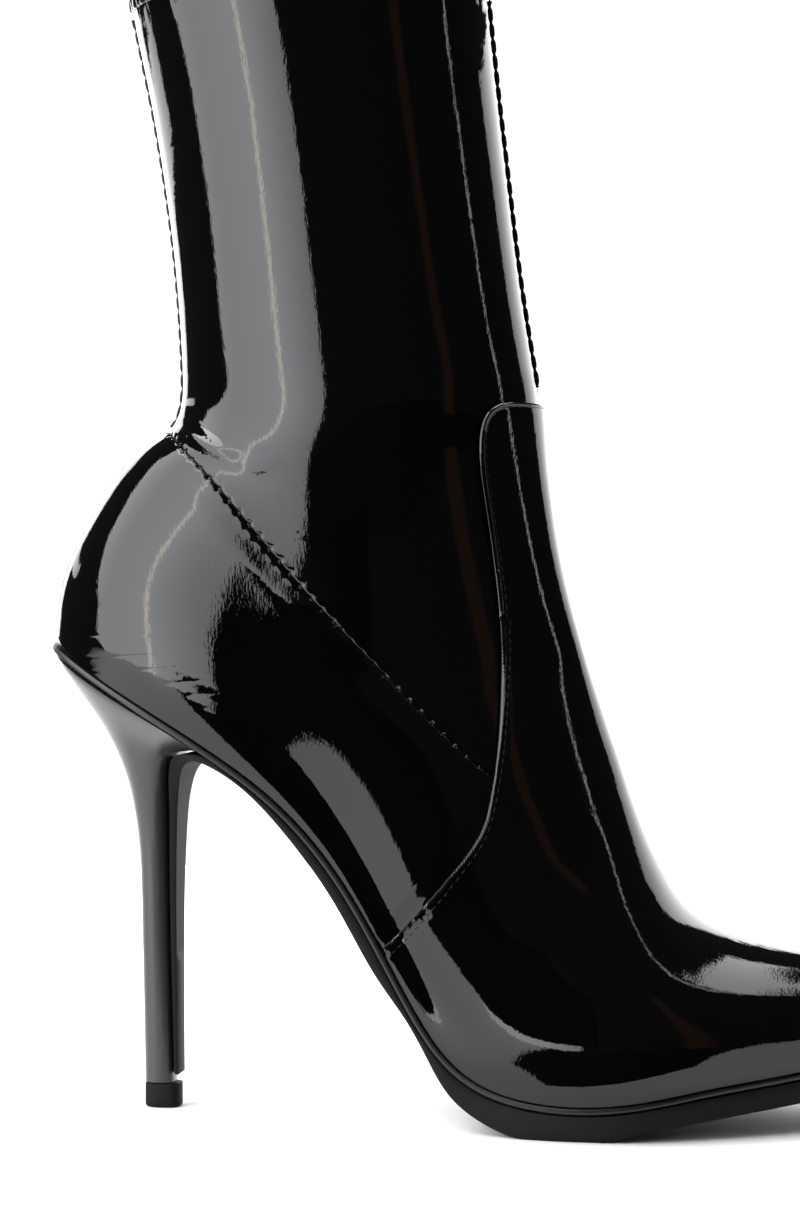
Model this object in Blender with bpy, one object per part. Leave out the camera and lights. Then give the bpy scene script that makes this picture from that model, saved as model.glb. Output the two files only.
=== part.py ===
"""Right stretch ankle boot on a covered stiletto: sock upper, patent panels, sole stack, heel.

The last is one function of station and girth. Every piece of the boot is a patch of it, or follows
its feather line. Toe to +X, inner (medial) side to +Y, +Z up, sole on z = 0.
"""

import math

import bpy
import numpy as np
from mathutils import Vector, geometry

# driving sizes, in metres
LENGTH = 0.225  # back of the heel rim to the tip of the sole
BALL_WIDTH = 0.085  # upper across the ball
COLLAR_HEIGHT = 0.288  # floor to the front of the collar
LINING = 0.0013  # wall of the sock upper
GAP = 0.0003  # room between the sock and a panel on it
SNUG = 0.00045  # room between the layers of the sole
VAMP = 0.0011  # thickness of the vamp panel
QUARTER = 0.0009  # thickness of the counter panel
HEM = 0.0009  # thickness of the gathered elastic band
MIDSOLE = 0.0014
INSOLE = 0.0016
TOP_PIECE = 0.0060  # height of the heel tip

# one part of each size: the tables below count in these parts
ALONG = LENGTH / 225
UP = COLLAR_HEIGHT / 288
ACROSS = BALL_WIDTH / 85


def table(names, rows):
    return dict(zip(names.split(), np.array(rows, float).T))


# front line of the sock, from the tip of the toe over the instep and up the shin
FRONT = table("station x z", [
    (0, 222.8, 21.0), (1, 221.6, 28.0), (2, 213.8, 33.2), (3, 201.0, 37.3), (4, 185.0, 40.4),
    (5, 170.3, 44.0), (6, 159.0, 49.6), (7, 152.5, 57.6), (8, 148.4, 65.0), (9, 145.2, 72.2),
    (10, 142.6, 79.2), (11, 140.2, 86.5), (12, 137.8, 93.4), (13, 135.4, 100.6), (14, 133.1, 107.6),
    (15, 130.9, 115.0), (16, 128.8, 122.8), (17, 126.7, 131.4), (18, 124.7, 142.0), (19, 123.3, 152.5),
    (20, 122.3, 163.0), (21, 121.8, 172.0), (22, 121.1, 179.6), (23, 119.9, 187.0), (24, 117.6, 201.5),
    (26, 114.2, 228.6), (28, 111.4, 252.6), (30, 109.0, 275.6), (31, 107.6, 288.0),
])
HEEL = 16  # the station that meets the back of the heel seat

# feather line, where the sock meets the sole, as seen from the side
FEATHER = table("station x z", [
    (0, 222.8, 21.0), (1, 218.6, 20.1), (2, 208.5, 18.3), (3, 196.0, 16.6), (4, 181.0, 14.4),
    (5, 164.0, 12.1), (6, 148.0, 9.4), (7, 133.5, 8.3), (8, 121.0, 9.2), (9, 110.5, 12.4),
    (10, 100.5, 20.5), (11, 90.6, 35.9), (12, 80.6, 53.2), (13, 67.2, 71.2), (14, 46.5, 88.6),
    (15, 18.5, 105.6), (16, 1.8, 115.6),
])

# back line of the sock, up the counter, in at the ankle and up the shaft
BACK = table("station x z", [
    (16, 1.8, 115.6), (17, 2.7, 127.6), (18, 6.9, 139.2), (19, 13.4, 150.6), (20, 21.0, 161.0),
    (21, 29.6, 168.6), (22, 32.4, 175.6), (23, 32.7, 182.6), (24, 31.9, 198.0), (26, 28.9, 226.0),
    (28, 24.6, 251.6), (30, 20.3, 272.8), (31, 18.9, 282.8),
])

# plan of the feather line: axis is its middle, shifted to the inner side, half is its half width
PLAN = table("x axis half", [
    (222.8, 6.0, 0.0), (217.0, 6.0, 8.0), (207.0, 5.6, 15.2), (196.0, 4.9, 21.2), (181.0, 3.6, 27.8),
    (164.0, 1.2, 34.2), (147.0, -1.2, 37.6), (133.0, -2.6, 36.6), (121.0, -3.4, 33.4),
    (110.0, -3.8, 30.0), (99.0, -3.9, 26.8), (88.0, -3.6, 24.2), (75.0, -2.9, 22.8),
    (58.0, -1.9, 23.4), (38.0, -0.8, 24.4), (24.0, 0.0, 22.8), (12.0, 0.0, 17.2), (1.8, 0.0, 0.0),
])

# each section: half width, side shift of the front ridge, and how sharp front and back are
GIRTH = table("station wide ridge front back", [
    (0, 0.0, 6.0, 0.02, 0.00), (1, 7.7, 6.0, 0.02, 0.00), (2, 15.8, 5.8, 0.02, 0.00),
    (3, 23.0, 5.2, 0.01, 0.00), (4, 30.2, 4.6, 0.00, 0.00), (5, 37.0, 3.6, -0.01, 0.00),
    (6, 41.4, 2.6, -0.02, 0.00), (7, 41.3, 2.4, -0.03, 0.00), (8, 38.6, 2.2, -0.04, 0.00),
    (10, 33.0, 2.2, -0.05, 0.00), (12, 30.8, 2.0, -0.05, 0.00), (14, 31.6, 1.4, -0.05, 0.00),
    (16, 32.4, 1.0, -0.04, -0.01), (18, 32.8, 0.6, -0.03, -0.02), (20, 33.6, 0.2, -0.02, -0.03),
    (22, 34.4, 0.0, 0.00, -0.02), (24, 35.4, 0.0, 0.00, 0.00), (27, 37.6, 0.0, 0.00, 0.00),
    (31, 40.0, 0.0, 0.00, 0.00),
])

# free edge of the vamp, drawn on the side of the last from the feather up to the shin
VAMP_EDGE = table("x z", [
    (86.4, 43.2), (90.3, 47.2), (94.2, 51.2), (101.2, 58.8), (106.6, 65.6), (110.6, 72.4),
    (112.1, 78.6), (113.0, 84.7), (113.9, 97.0), (113.9, 106.5), (113.6, 117.5), (112.8, 127.0),
    (111.7, 136.3), (109.6, 151.5), (108.8, 158.0), (108.6, 164.0), (109.0, 167.8), (110.2, 171.2),
    (112.2, 173.4), (114.6, 174.4), (117.8, 174.6), (121.8, 174.7),
])

# seam between the counter panel and the stretch shaft, from the back down to the vamp
SEAM = table("x z", [
    (29.6, 168.6), (32.3, 166.8), (36.6, 163.2), (42.1, 158.2), (48.3, 151.4), (55.2, 143.2),
    (64.6, 132.5), (73.7, 122.6), (83.6, 112.4), (92.3, 103.6), (103.1, 93.0), (111.0, 86.0),
    (113.0, 84.6),
])

# underside of the outsole from the toe back to the breast, then down the flap
TREAD = table("x z half", [
    (224.5, 14.4, 0.0), (218.0, 12.9, 8.6), (208.0, 11.1, 15.6), (196.0, 9.0, 21.9),
    (181.0, 6.7, 28.4), (164.0, 4.4, 34.6), (150.0, 2.2, 38.0), (140.0, 0.0, 38.0),
    (128.0, 0.0, 36.2), (120.0, 0.0, 33.8), (112.0, 2.6, 31.0), (104.4, 7.4, 28.2),
    (98.8, 14.6, 26.0), (92.4, 25.4, 23.8), (84.0, 36.8, 22.0), (75.2, 51.6, 20.8),
    (66.2, 64.6, 20.6), (55.8, 76.8, 21.4), (47.6, 83.6, 22.0), (41.6, 86.6, 20.6),
    (37.4, 87.0, 16.6), (34.2, 84.6, 11.4), (32.8, 79.6, 8.4), (32.1, 72.0, 6.8),
    (31.6, 54.0, 5.4), (31.6, 30.0, 4.6), (31.8, 8.3, 4.2),
])
# its other side, row for row: x where it lies against the feather, then the run down the breast
LIES = [224.5, 218.4, 208.3, 196.4, 181.4, 164.3, 150.2, 140.0, 129.0, 121.0, 113.8, 107.4,
        102.0, 95.8, 88.6, 80.6, 71.6, 59.6, 50.0]
BREAST = table("x z", [
    (42.2, 88.2), (36.4, 88.8), (31.6, 87.2), (30.3, 80.6), (30.2, 72.2), (30.0, 54.2),
    (30.4, 30.2), (30.9, 8.5),
])

# heel block from the seat down: back and front of each section, half width, squareness of the front
BLOCK = table("back_x back_z front_x front_z half square", [
    (1.0, 113.3, 44.0, 87.6, 24.4, 5.0), (1.9, 111.2, 42.0, 88.7, 23.8, 5.0),
    (4.2, 107.8, 38.0, 89.3, 21.6, 4.6), (7.4, 103.2, 33.4, 88.9, 18.0, 4.2),
    (10.9, 98.2, 30.7, 86.8, 14.4, 3.8), (13.8, 93.2, 29.8, 82.6, 11.4, 3.4),
    (16.4, 87.6, 29.7, 78.0, 9.2, 3.0), (18.8, 80.6, 29.6, 73.0, 7.6, 3.0),
    (20.5, 72.0, 29.5, 66.6, 6.5, 3.0), (21.6, 61.0, 29.5, 57.6, 5.7, 3.0),
    (22.1, 42.0, 29.7, 41.0, 5.0, 3.0), (22.5, 22.0, 30.1, 21.8, 4.6, 3.0),
    (22.8, 6.3, 30.4, 6.3, 4.4, 3.0),
])
for level in ("back_z", "front_z"):
    BLOCK[level][-1] = (TOP_PIECE + GAP) / UP  # the block ends just above its top piece


def curve(knots, values, at, start=None, end=None):
    """Cubic spline through the knots; start and end are end slopes, free when None."""
    knots, values, at = np.asarray(knots, float), np.asarray(values, float), np.asarray(at, float)
    if knots[0] > knots[-1]:
        knots, values, start, end = knots[::-1], values[::-1], end, start
    n, h = len(knots), np.diff(knots)
    rise = np.diff(values) / h
    system, right = np.zeros((n, n)), np.zeros(n)
    for i in range(1, n - 1):
        system[i, i - 1: i + 2] = h[i - 1], 2 * (h[i - 1] + h[i]), h[i]
        right[i] = 6 * (rise[i] - rise[i - 1])
    system[0, 0] = system[-1, -1] = 1
    if start is not None:
        system[0, :2], right[0] = (2 * h[0], h[0]), 6 * (rise[0] - start)
    if end is not None:
        system[-1, -2:], right[-1] = (h[-1], 2 * h[-1]), 6 * (end - rise[-1])
    bend = np.linalg.solve(system, right)
    k = np.clip(np.searchsorted(knots, at) - 1, 0, n - 2)
    t = at - knots[k]
    inner = np.clip(t, 0, h[k])
    past = t - inner  # beyond the ends the curve goes on straight
    value = values[k] + inner * (
        rise[k] - h[k] * (2 * bend[k] + bend[k + 1]) / 6
        + inner * (bend[k] / 2 + inner * (bend[k + 1] - bend[k]) / (6 * h[k]))
    )
    slope = rise[k] - h[k] * (2 * bend[k] + bend[k + 1]) / 6 + inner * (
        bend[k] + inner * (bend[k + 1] - bend[k]) / (2 * h[k])
    )
    return value + past * slope


def plan(x):
    """Axis and half width of the feather line at x, in metres."""
    x = np.asarray(x, float)
    tip, heel = PLAN["x"][0] * ALONG, PLAN["x"][-1] * ALONG

    def angle(at):
        return np.arccos(np.clip(1 - 2 * (at - heel) / (tip - heel), -1, 1))

    knots = angle(PLAN["x"] * ALONG)
    axis = curve(knots, PLAN["axis"], angle(x)) * ACROSS
    half = curve(knots, PLAN["half"], angle(x)) * ACROSS
    return axis, np.maximum(half, 0)


def feather(x):
    """Height and slope of the feather surface at x; it is level across the foot."""
    keep = FEATHER["x"][::-1] * ALONG
    height = curve(keep, FEATHER["z"][::-1] * UP, x)
    return height, (curve(keep, FEATHER["z"][::-1] * UP, np.asarray(x) + 1e-4) - height) / 1e-4


def frames(u):
    """Front and back end of the section plane at each station, and the girth numbers there."""
    fx = curve(FRONT["station"], FRONT["x"], u, start=0.0) * ALONG
    fz = curve(FRONT["station"], FRONT["z"], u) * UP
    low = np.minimum(u, HEEL)
    bx = curve(FEATHER["station"], FEATHER["x"], low, start=0.0, end=-6.0) * ALONG
    bz = feather(bx)[0]
    high = np.maximum(u, HEEL)
    bx = np.where(u > HEEL, curve(BACK["station"], BACK["x"], high) * ALONG, bx)
    bz = np.where(u > HEEL, curve(BACK["station"], BACK["z"], high) * UP, bz)
    axis, half = plan(bx)
    half = np.where(u >= HEEL, 0.0, half)
    axis = np.where(u >= HEEL, 0.0, axis)
    wide = curve(GIRTH["station"], GIRTH["wide"], u) * ACROSS
    ridge = curve(GIRTH["station"], GIRTH["ridge"], u) * ACROSS
    front = curve(GIRTH["station"], GIRTH["front"], u)
    back = curve(GIRTH["station"], GIRTH["back"], u)
    wide = np.maximum(wide, half * 1.001)
    share = np.minimum(half / np.maximum(wide, 1e-9), 0.9995)
    low_a, high_a = np.full_like(u, math.pi / 2), np.full_like(u, math.pi)
    for _ in range(40):
        middle = (low_a + high_a) / 2
        inside = girth(middle, front, back) > share
        low_a, high_a = np.where(inside, middle, low_a), np.where(inside, high_a, middle)
    return fx, fz, bx, bz, ridge, axis, wide, front, back, (low_a + high_a) / 2


def girth(angle, front, back):
    """Half width of a section, as a share of its widest, at this angle round from its front."""
    sharp = front + (back - front) * (1 - np.cos(angle)) / 2
    return (np.sin(angle) + sharp * np.sin(3 * angle)) / (1 - sharp)


def surface(u, v):
    """Points of the sock's outside. u is the station, v runs -1 (outer side) over 0 (front) to 1."""
    u, v = np.broadcast_arrays(np.asarray(u, float), np.asarray(v, float))
    shape, u, v = u.shape, np.maximum(u.ravel(), 0), v.ravel()
    fx, fz, bx, bz, ridge, axis, wide, front, back, end = frames(u)
    angle = np.abs(v) * end
    t = (1 - np.cos(angle)) / (1 - np.cos(end))
    y = ridge + (axis - ridge) * t + np.sign(v) * wide * girth(angle, front, back)
    points = np.stack([fx + t * (bx - fx), y, fz + t * (bz - fz)], axis=-1)
    return points.reshape(*shape, 3)


def outward(u, v):
    """Direction in which a panel is raised: square to the surface, but along the feather at its edge."""
    step = 2e-3
    u, v = np.broadcast_arrays(np.maximum(np.asarray(u, float), step), np.asarray(v, float))
    along = surface(u + step, v) - surface(u - step, v)
    round_it = surface(u, v + step) - surface(u, v - step)
    normal = np.cross(round_it, along)
    normal /= np.maximum(np.linalg.norm(normal, axis=-1, keepdims=True), 1e-12)
    point = surface(u, v)
    height, slope = feather(point[..., 0])
    up = np.stack([-slope, np.zeros_like(slope), np.ones_like(slope)], axis=-1)
    up /= np.linalg.norm(up, axis=-1, keepdims=True)
    above = (point[..., 2] - height) * up[..., 2]
    near = np.exp(-((above / (5 * ALONG)) ** 2))[..., None]
    flat = normal - near * (normal * up).sum(-1, keepdims=True) * up
    flat /= np.maximum(np.linalg.norm(flat, axis=-1, keepdims=True), 1e-9)
    return flat / np.clip((flat * normal).sum(-1, keepdims=True), 0.75, 1)


def raised(u, v, by):
    return surface(u, v) + outward(u, v) * np.asarray(by, float)[..., None]


def on_last(x, z):
    """Station and girth share (0 front to 1 back) of points drawn on the side of the last."""
    stations = np.linspace(0.02, 31, 3100)
    fx, fz, bx, bz, *_, end = frames(stations)
    found = []
    for px, pz in zip(x, z):
        side = (bx - fx) * (pz - fz) - (bz - fz) * (px - fx)
        length = (bx - fx) ** 2 + (bz - fz) ** 2
        t = ((px - fx) * (bx - fx) + (pz - fz) * (bz - fz)) / np.maximum(length, 1e-12)
        usable = (t > -0.02) & (t < 1.02)
        turn = np.where((side[1:] * side[:-1] <= 0) & usable[1:] & usable[:-1])[0]
        k = turn[0] if len(turn) else int(np.argmin(np.abs(side) + 1e3 * ~usable))
        share = np.clip(t[k], 0, 1)
        angle = math.acos(np.clip(1 - share * (1 - math.cos(end[k])), -1, 1))
        found.append((stations[k], min(angle / end[k], 1)))
    return np.array(found)


def drawn(line, step):
    """A line drawn on the side of the last, as stations and girth shares a step apart on it."""
    points = np.stack([line["x"] * ALONG, line["z"] * UP], axis=-1)
    run = np.concatenate([[0], np.cumsum(np.hypot(*np.diff(points, axis=0).T))])
    at = np.linspace(0, run[-1], 260)
    found = on_last(curve(run, points[:, 0], at), curve(run, points[:, 1], at))
    walk = np.diff(surface(*found.T), axis=0)
    far = np.concatenate([[0], np.cumsum(np.linalg.norm(walk, axis=-1))])
    even = np.linspace(0, far[-1], max(2, int(round(far[-1] / step)) + 1))
    return np.stack([np.interp(even, far, column) for column in found.T], axis=-1)


METRIC = np.array([10.0, 115.0])  # rough millimetres for one station and for one half girth


def build(name, points, faces, paint):
    """One object from its points and faces."""
    mesh = bpy.data.meshes.new(name)
    mesh.from_pydata([tuple(p) for p in points], [], [tuple(int(i) for i in f) for f in faces])
    mesh.materials.append(paint)
    mesh.validate()
    obj = bpy.data.objects.new(name, mesh)
    bpy.context.scene.collection.objects.link(obj)
    return obj


def paint(name, colour, roughness, coat=0.0):
    material = bpy.data.materials.new(name)
    material.use_nodes = True
    shader = material.node_tree.nodes["Principled BSDF"]
    shader.inputs["Base Color"].default_value = (*colour, 1)
    shader.inputs["Roughness"].default_value = roughness
    shader.inputs["Coat Weight"].default_value = coat
    shader.inputs["Coat Roughness"].default_value = 0.03
    return material


def welded(points, faces, within=2e-6):
    """Points closer than this made one, and the faces that collapse dropped."""
    keys, kept, index = {}, [], []
    for point in points:
        key = tuple(np.round(point / within).astype(int))
        if key not in keys:
            keys[key] = len(kept)
            kept.append(point)
        index.append(keys[key])
    clean = []
    for face in faces:
        ring = [index[i] for i in face]
        ring = [a for a, b in zip(ring, ring[1:] + ring[:1]) if a != b]
        if len(ring) > 2:
            clean.append(ring)
    used = sorted({i for ring in clean for i in ring})
    place = {old: new for new, old in enumerate(used)}
    return [kept[i] for i in used], [[place[i] for i in ring] for ring in clean]


def shell(name, stations, shares, inner, outer, paint_it):
    """A sleeve of the last between two offsets: open at the last station and along the feather."""
    grid_u, grid_v = np.meshgrid(stations, shares, indexing="ij")
    rows, columns = grid_u.shape
    closed = stations >= HEEL - 1e-9
    out = raised(grid_u, grid_v, np.full(grid_u.shape, outer))
    into = raised(grid_u, grid_v, np.full(grid_u.shape, inner))
    for layer in (out, into):
        if stations[0] < 1e-9:
            layer[0] = layer[0].mean(axis=0)
        seam = (layer[closed, 0] + layer[closed, -1]) / 2
        layer[closed, 0] = layer[closed, -1] = seam
    points = np.concatenate([out.reshape(-1, 3), into.reshape(-1, 3)])
    size, faces = rows * columns, []

    def at(i, j, layer):
        return layer * size + i * columns + j

    for i in range(rows - 1):
        for j in range(columns - 1):
            faces.append((at(i, j, 0), at(i, j + 1, 0), at(i + 1, j + 1, 0), at(i + 1, j, 0)))
            faces.append((at(i, j, 1), at(i + 1, j, 1), at(i + 1, j + 1, 1), at(i, j + 1, 1)))
    for j in range(columns - 1):  # collar rim
        faces.append((at(rows - 1, j, 0), at(rows - 1, j + 1, 0), at(rows - 1, j + 1, 1), at(rows - 1, j, 1)))
        if not stations[0] < 1e-9:  # lower rim of a band
            faces.append((at(0, j, 1), at(0, j + 1, 1), at(0, j + 1, 0), at(0, j, 0)))
    for i in range(rows - 1):  # feather rim, both sides
        if closed[i]:
            continue
        faces.append((at(i, 0, 0), at(i + 1, 0, 0), at(i + 1, 0, 1), at(i, 0, 1)))
        last = columns - 1
        faces.append((at(i, last, 1), at(i + 1, last, 1), at(i + 1, last, 0), at(i, last, 0)))
    return build(name, *welded(points, faces), paint_it)


def patch(name, outlines, rows, inner, outer, paint_it, lift=None):
    """A panel: the parts of the last inside outlines of (station, girth), between two offsets."""
    spots, triangles = [], []
    for outline in outlines:
        flat = np.asarray(outline, float) * METRIC
        cloud = [Vector(p) for p in flat]
        edges = [(i, (i + 1) % len(flat)) for i in range(len(flat))]
        for u in rows:
            for v in shares:
                spot = np.array([u, v]) * METRIC
                if np.min(np.hypot(*(flat - spot).T)) > 1.4:
                    cloud.append(Vector(spot))
        cut = geometry.delaunay_2d_cdt(cloud, edges, [], 1, 1e-6)
        triangles += [tuple(i + len(spots) for i in t) for t in cut[2]]
        spots += [np.array(tuple(p)) / METRIC for p in cut[0]]
    spots = np.array(spots)
    spots[:, 1] = np.clip(spots[:, 1], -1, 1)
    u, v = spots.T
    on_back = (np.abs(v) > 1 - 1e-5) & (u >= HEEL - 1e-5)
    out = raised(u, v, np.full(len(u), outer) if lift is None else lift(u, v))
    into = raised(u, v, np.full(len(u), inner))
    for layer in (out, into):
        if (u < 1e-6).any():
            layer[u < 1e-6] = layer[u < 1e-6].mean(axis=0)
        for a in np.where(on_back & (v < 0))[0]:
            twin = np.where(on_back & (v > 0) & (np.abs(u - u[a]) < 1e-5))[0]
            layer[a] = layer[twin[0]] = (layer[a] + layer[twin[0]]) / 2
    faces, size, once = [], len(u), set()
    for a, b, c in triangles:
        (ua, va), (ub, vb), (uc, vc) = spots[a], spots[b], spots[c]
        if (ub - ua) * (vc - va) - (vb - va) * (uc - ua) > 0:
            b, c = c, b
        faces += [(a, b, c), (a + size, c + size, b + size)]
        once |= {(a, b), (b, c), (c, a)}
    for a, b in sorted(once):
        if (b, a) not in once and not (on_back[a] and on_back[b]):
            faces.append((b, a, a + size, b + size))
    return build(name, *welded(np.concatenate([out, into]), faces), paint_it)


def ladder(name, levels, paint_it):
    """A slab from a few outlines, top first: each is x, z, axis and half width, station by station."""
    points, faces, rings = [], [], []
    for x, z, axis, half in levels:
        ring = []
        for side in (-1, 1):
            order = range(len(x)) if side < 0 else range(len(x) - 1, -1, -1)
            for i in order:
                if half[i] <= 0 and side > 0:
                    continue
                ring.append(len(points))
                points.append((x[i], axis[i] + side * half[i], z[i]))
        rings.append(ring)
    n, count = len(levels[0][0]), len(rings[0])
    for upper_ring, lower_ring in zip(rings, rings[1:]):
        for k in range(count):
            m = (k + 1) % count
            faces.append((upper_ring[k], upper_ring[m], lower_ring[m], lower_ring[k]))
    pair = {}
    half = levels[0][3]
    for i in range(n):
        pair[i] = (i, i)
    other = [i for i in range(n - 1, -1, -1) if half[i] > 0]
    for k, i in enumerate(other):
        pair[i] = (i, n + k)
    for ring, flip in ((rings[0], True), (rings[-1], False)):
        for i in range(n - 1):
            a, d = pair[i]
            b, c = pair[i + 1]
            face = [ring[j] for j in (a, b, c, d)]
            face = [p for p, q in zip(face, face[1:] + face[:1]) if p != q]
            faces.append(tuple(face[::-1] if flip else face))
    return build(name, *welded(np.array(points), faces), paint_it)


def below_feather(x, drop):
    """Points this far under the feather surface, square to it."""
    height, slope = feather(x)
    long = np.sqrt(1 + slope ** 2)
    return x + drop * slope / long, height - drop / long


def footprint(margin, count):
    """Plan of the feather line moved outward by a margin: x, axis and half width, toe to heel."""
    turn = np.linspace(math.pi, 0, 400)
    heel, tip = PLAN["x"][-1] * ALONG, PLAN["x"][0] * ALONG
    x = heel + (tip - heel) * (1 - np.cos(turn)) / 2
    axis, half = plan(x)
    half[[0, -1]] = 0
    run, rise = np.gradient(x), np.gradient(half)
    length = np.hypot(run, rise)
    moved, wider = x + margin * rise / length, half - margin * run / length
    wider[[0, -1]] = 0
    moved[0], moved[-1] = tip + margin, heel - margin
    pick = np.round(np.linspace(0, 399, count)).astype(int)
    return moved[pick], axis[pick], wider[pick]


def slab(name, margin, top, bottom, count, paint_it, shrink=0.0):
    """A sheet that follows the feather surface, between two depths below it."""
    levels = []
    for drop, less in ((top, 0.0), (bottom, shrink)):
        x, axis, half = footprint(margin - less, count)
        levels.append((*below_feather(x, drop), axis, half))
    return ladder(name, levels, paint_it)


def loft(name, rings, paint_it):
    """A solid through closed rings of as many points each, capped at both ends."""
    count, faces = len(rings[0]), []
    for k in range(len(rings) - 1):
        for i in range(count):
            j = (i + 1) % count
            faces.append((k * count + j, k * count + i, (k + 1) * count + i, (k + 1) * count + j))
    faces.append(tuple(range(count)))
    faces.append(tuple(range((len(rings) - 1) * count, len(rings) * count))[::-1])
    return build(name, *welded(np.concatenate(rings), faces), paint_it)


def block_ring(back, front, half, square, count=28):
    """One D-shaped section of the heel: round behind, squarer at the breast."""
    ring = []
    for turn in np.linspace(0, 2 * math.pi, count, endpoint=False):
        power = 2 / (square if math.cos(turn) > 0 else 2.15)
        lengthwise = math.copysign(abs(math.cos(turn)) ** power, math.cos(turn))
        sideways = math.copysign(abs(math.sin(turn)) ** power, math.sin(turn))
        share = 0.54 + lengthwise * (0.46 if lengthwise > 0 else 0.54)
        x, z = (b + share * (f - b) for b, f in zip(back, front))
        ring.append((x, half * sideways, z))
    return np.array(ring)


for old in list(bpy.data.objects):
    bpy.data.objects.remove(old, do_unlink=True)

patent = paint("black_patent", (0.006, 0.006, 0.007), 0.08, 1.0)
board = paint("black_board", (0.010, 0.010, 0.010), 0.45)
rubber = paint("black_outsole", (0.018, 0.018, 0.019), 0.55)
cover = paint("black_heel_cover", (0.030, 0.030, 0.032), 0.28)
sock = paint("black_sock", (0.015, 0.015, 0.016), 0.6)

# rows and columns of the mesh of the last, closer where it bends: toe, heel corner, ankle
toe_rows = [0, 0.25, 0.6, 1.0, 1.5]
foot_rows = list(np.linspace(2.1, 10.5, 13)) + list(np.linspace(11.1, 14.5, 7))
heel_rows = [14.95, 15.25, 15.48, 15.66, 15.8, 15.9, 15.96, HEEL, 16.25, 16.6, 17.2, 17.9, 18.7, 19.5]
shaft_rows = [20.3, 20.9, 21.4, 21.9, 22.5, 23.4, 24.8, 26.4, 28.2, 30.0, 31.0]
stations = np.array(toe_rows + foot_rows + heel_rows + shaft_rows, float)
shares = np.linspace(-1, 1, 27)

# sock upper: from the tip of the toe to the collar, one hollow wall
upper = shell("upper", stations, shares, -LINING, 0.0, patent)

# vamp: toe, instep and a tongue up the shin, one panel over both sides
edge = drawn(VAMP_EDGE, 0.0055)
edge[0, 1], edge[-1, 1] = 1.0, 0.0
side = edge[:-1]
feather_run = stations[(stations > 0) & (stations < side[0, 0] - 0.1)]
outline = np.concatenate([
    [(0, -1)], [(u, -1) for u in feather_run], side * (1, -1), [(edge[-1, 0], 0)], side[::-1],
    [(u, 1) for u in feather_run[::-1]], [(0, 1)], [(0, v) for v in (0.67, 0.33, 0, -0.33, -0.67)],
])
vamp = patch("vamp", [outline], stations[1:], GAP, GAP + VAMP, patent)

# quarter: the counter panel round the heel, below the slanting seam and behind the vamp
seam = drawn(SEAM, 0.0055)
seam[0, 1] = 1.0
run = drawn(VAMP_EDGE, 0.002)
turn = np.gradient(run, axis=0) * METRIC
turn = np.stack([-turn[:, 1], turn[:, 0]], axis=-1) / np.linalg.norm(turn, axis=-1, keepdims=True)
front_edge = run + turn * 0.55 / METRIC
front_edge = front_edge[front_edge[:, 1] > seam[-1, 1] + 0.005][::3]
front_edge[0, 1] = 1.0
slant = seam[np.linalg.norm((seam - front_edge[-1]) * METRIC, axis=-1) > 2.5]
half_outline = np.concatenate([
    [(u, 1) for u in stations if HEEL <= u < slant[0, 0] - 0.1], slant, front_edge[::-1],
    [(u, 1) for u in stations if front_edge[0, 0] + 0.1 < u < HEEL],
])
seam_line = drawn(SEAM, 0.001) * METRIC


def skived(u, v):
    """The counter panel thins toward the slanting seam, so that it ends flush there."""
    spot = np.stack([u, np.abs(v)], axis=-1) * METRIC
    away = np.min(np.linalg.norm(spot[:, None] - seam_line[None], axis=-1), axis=1)
    ease = np.clip(away / 7, 0, 1)
    return GAP + QUARTER * (0.6 + 0.4 * ease * ease * (3 - 2 * ease))


quarter = patch("quarter", [half_outline, half_outline * (1, -1)], stations, 1.9 * GAP,
                GAP + QUARTER, patent, skived)

# gathered elastic band round the collar
band_u = np.array([30.0, 31.0])
band = shell("collar_band", band_u, shares, GAP, GAP + HEM, patent)

# sole stack under the feather: sock inside, board with a proud lip, outsole with its flap
insole = slab("insole", -(LINING + 0.0010), -INSOLE, -0.00005, 40, sock)
midsole = slab("midsole", 0.0017, SNUG, SNUG + MIDSOLE, 60, board, 0.0003)

spots = np.arange(len(TREAD["x"]))
fine = np.unique(np.concatenate([np.linspace(0, len(spots) - 1, 2 * len(spots) - 1), spots, [0.25]]))
low = {k: curve(spots, TREAD[k], fine) for k in TREAD}
low["z"] = np.where((fine >= 7) & (fine <= 9), 0, np.maximum(low["z"], 0))
low["half"] = np.maximum(low["half"], 0)
against = below_feather(np.array(LIES) * ALONG, 2 * SNUG + MIDSOLE)
high = {
    "x": curve(spots, np.concatenate([against[0] / ALONG, BREAST["x"]]), fine),
    "z": curve(spots, np.concatenate([against[1] / UP, BREAST["z"]]), fine),
}
flap = np.clip((fine - 17) / 4, 0, 1)
axis = plan(low["x"] * ALONG)[0] * (1 - flap)
levels = []
for lift, wide in ((1.0, 1.0), (0.55, 1.5), (0.12, 0.9), (0.0, 0.0)):
    x = (low["x"] + lift * (high["x"] - low["x"])) * ALONG
    z = (low["z"] + lift * (high["z"] - low["z"])) * UP
    taper = np.where(low["half"] > 0, 1 - 0.9 * flap, 0)
    levels.append((x, z, axis, (low["half"] + wide * taper) * ACROSS))
outsole = ladder("outsole", levels, rubber)

rings = [block_ring((a * ALONG, b * UP), (c * ALONG, d * UP), h * ACROSS, s)
         for a, b, c, d, h, s in zip(*(BLOCK[k] for k in BLOCK))]
heel = loft("heel", rings, cover)
tip_back, tip_front, tip_half = 22.7 * ALONG, 31.9 * ALONG, 4.4 * ACROSS
tip_rings = []
for z, less in ((TOP_PIECE, 0.0), (TOP_PIECE * 0.5, 0.0), (0.0006, 0.0), (0.0, 0.0005)):
    tip_rings.append(block_ring((tip_back + less, z), (tip_front - less, z), tip_half - less, 3.0))
heel_tip = loft("heel_tip", tip_rings, rubber)

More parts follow.
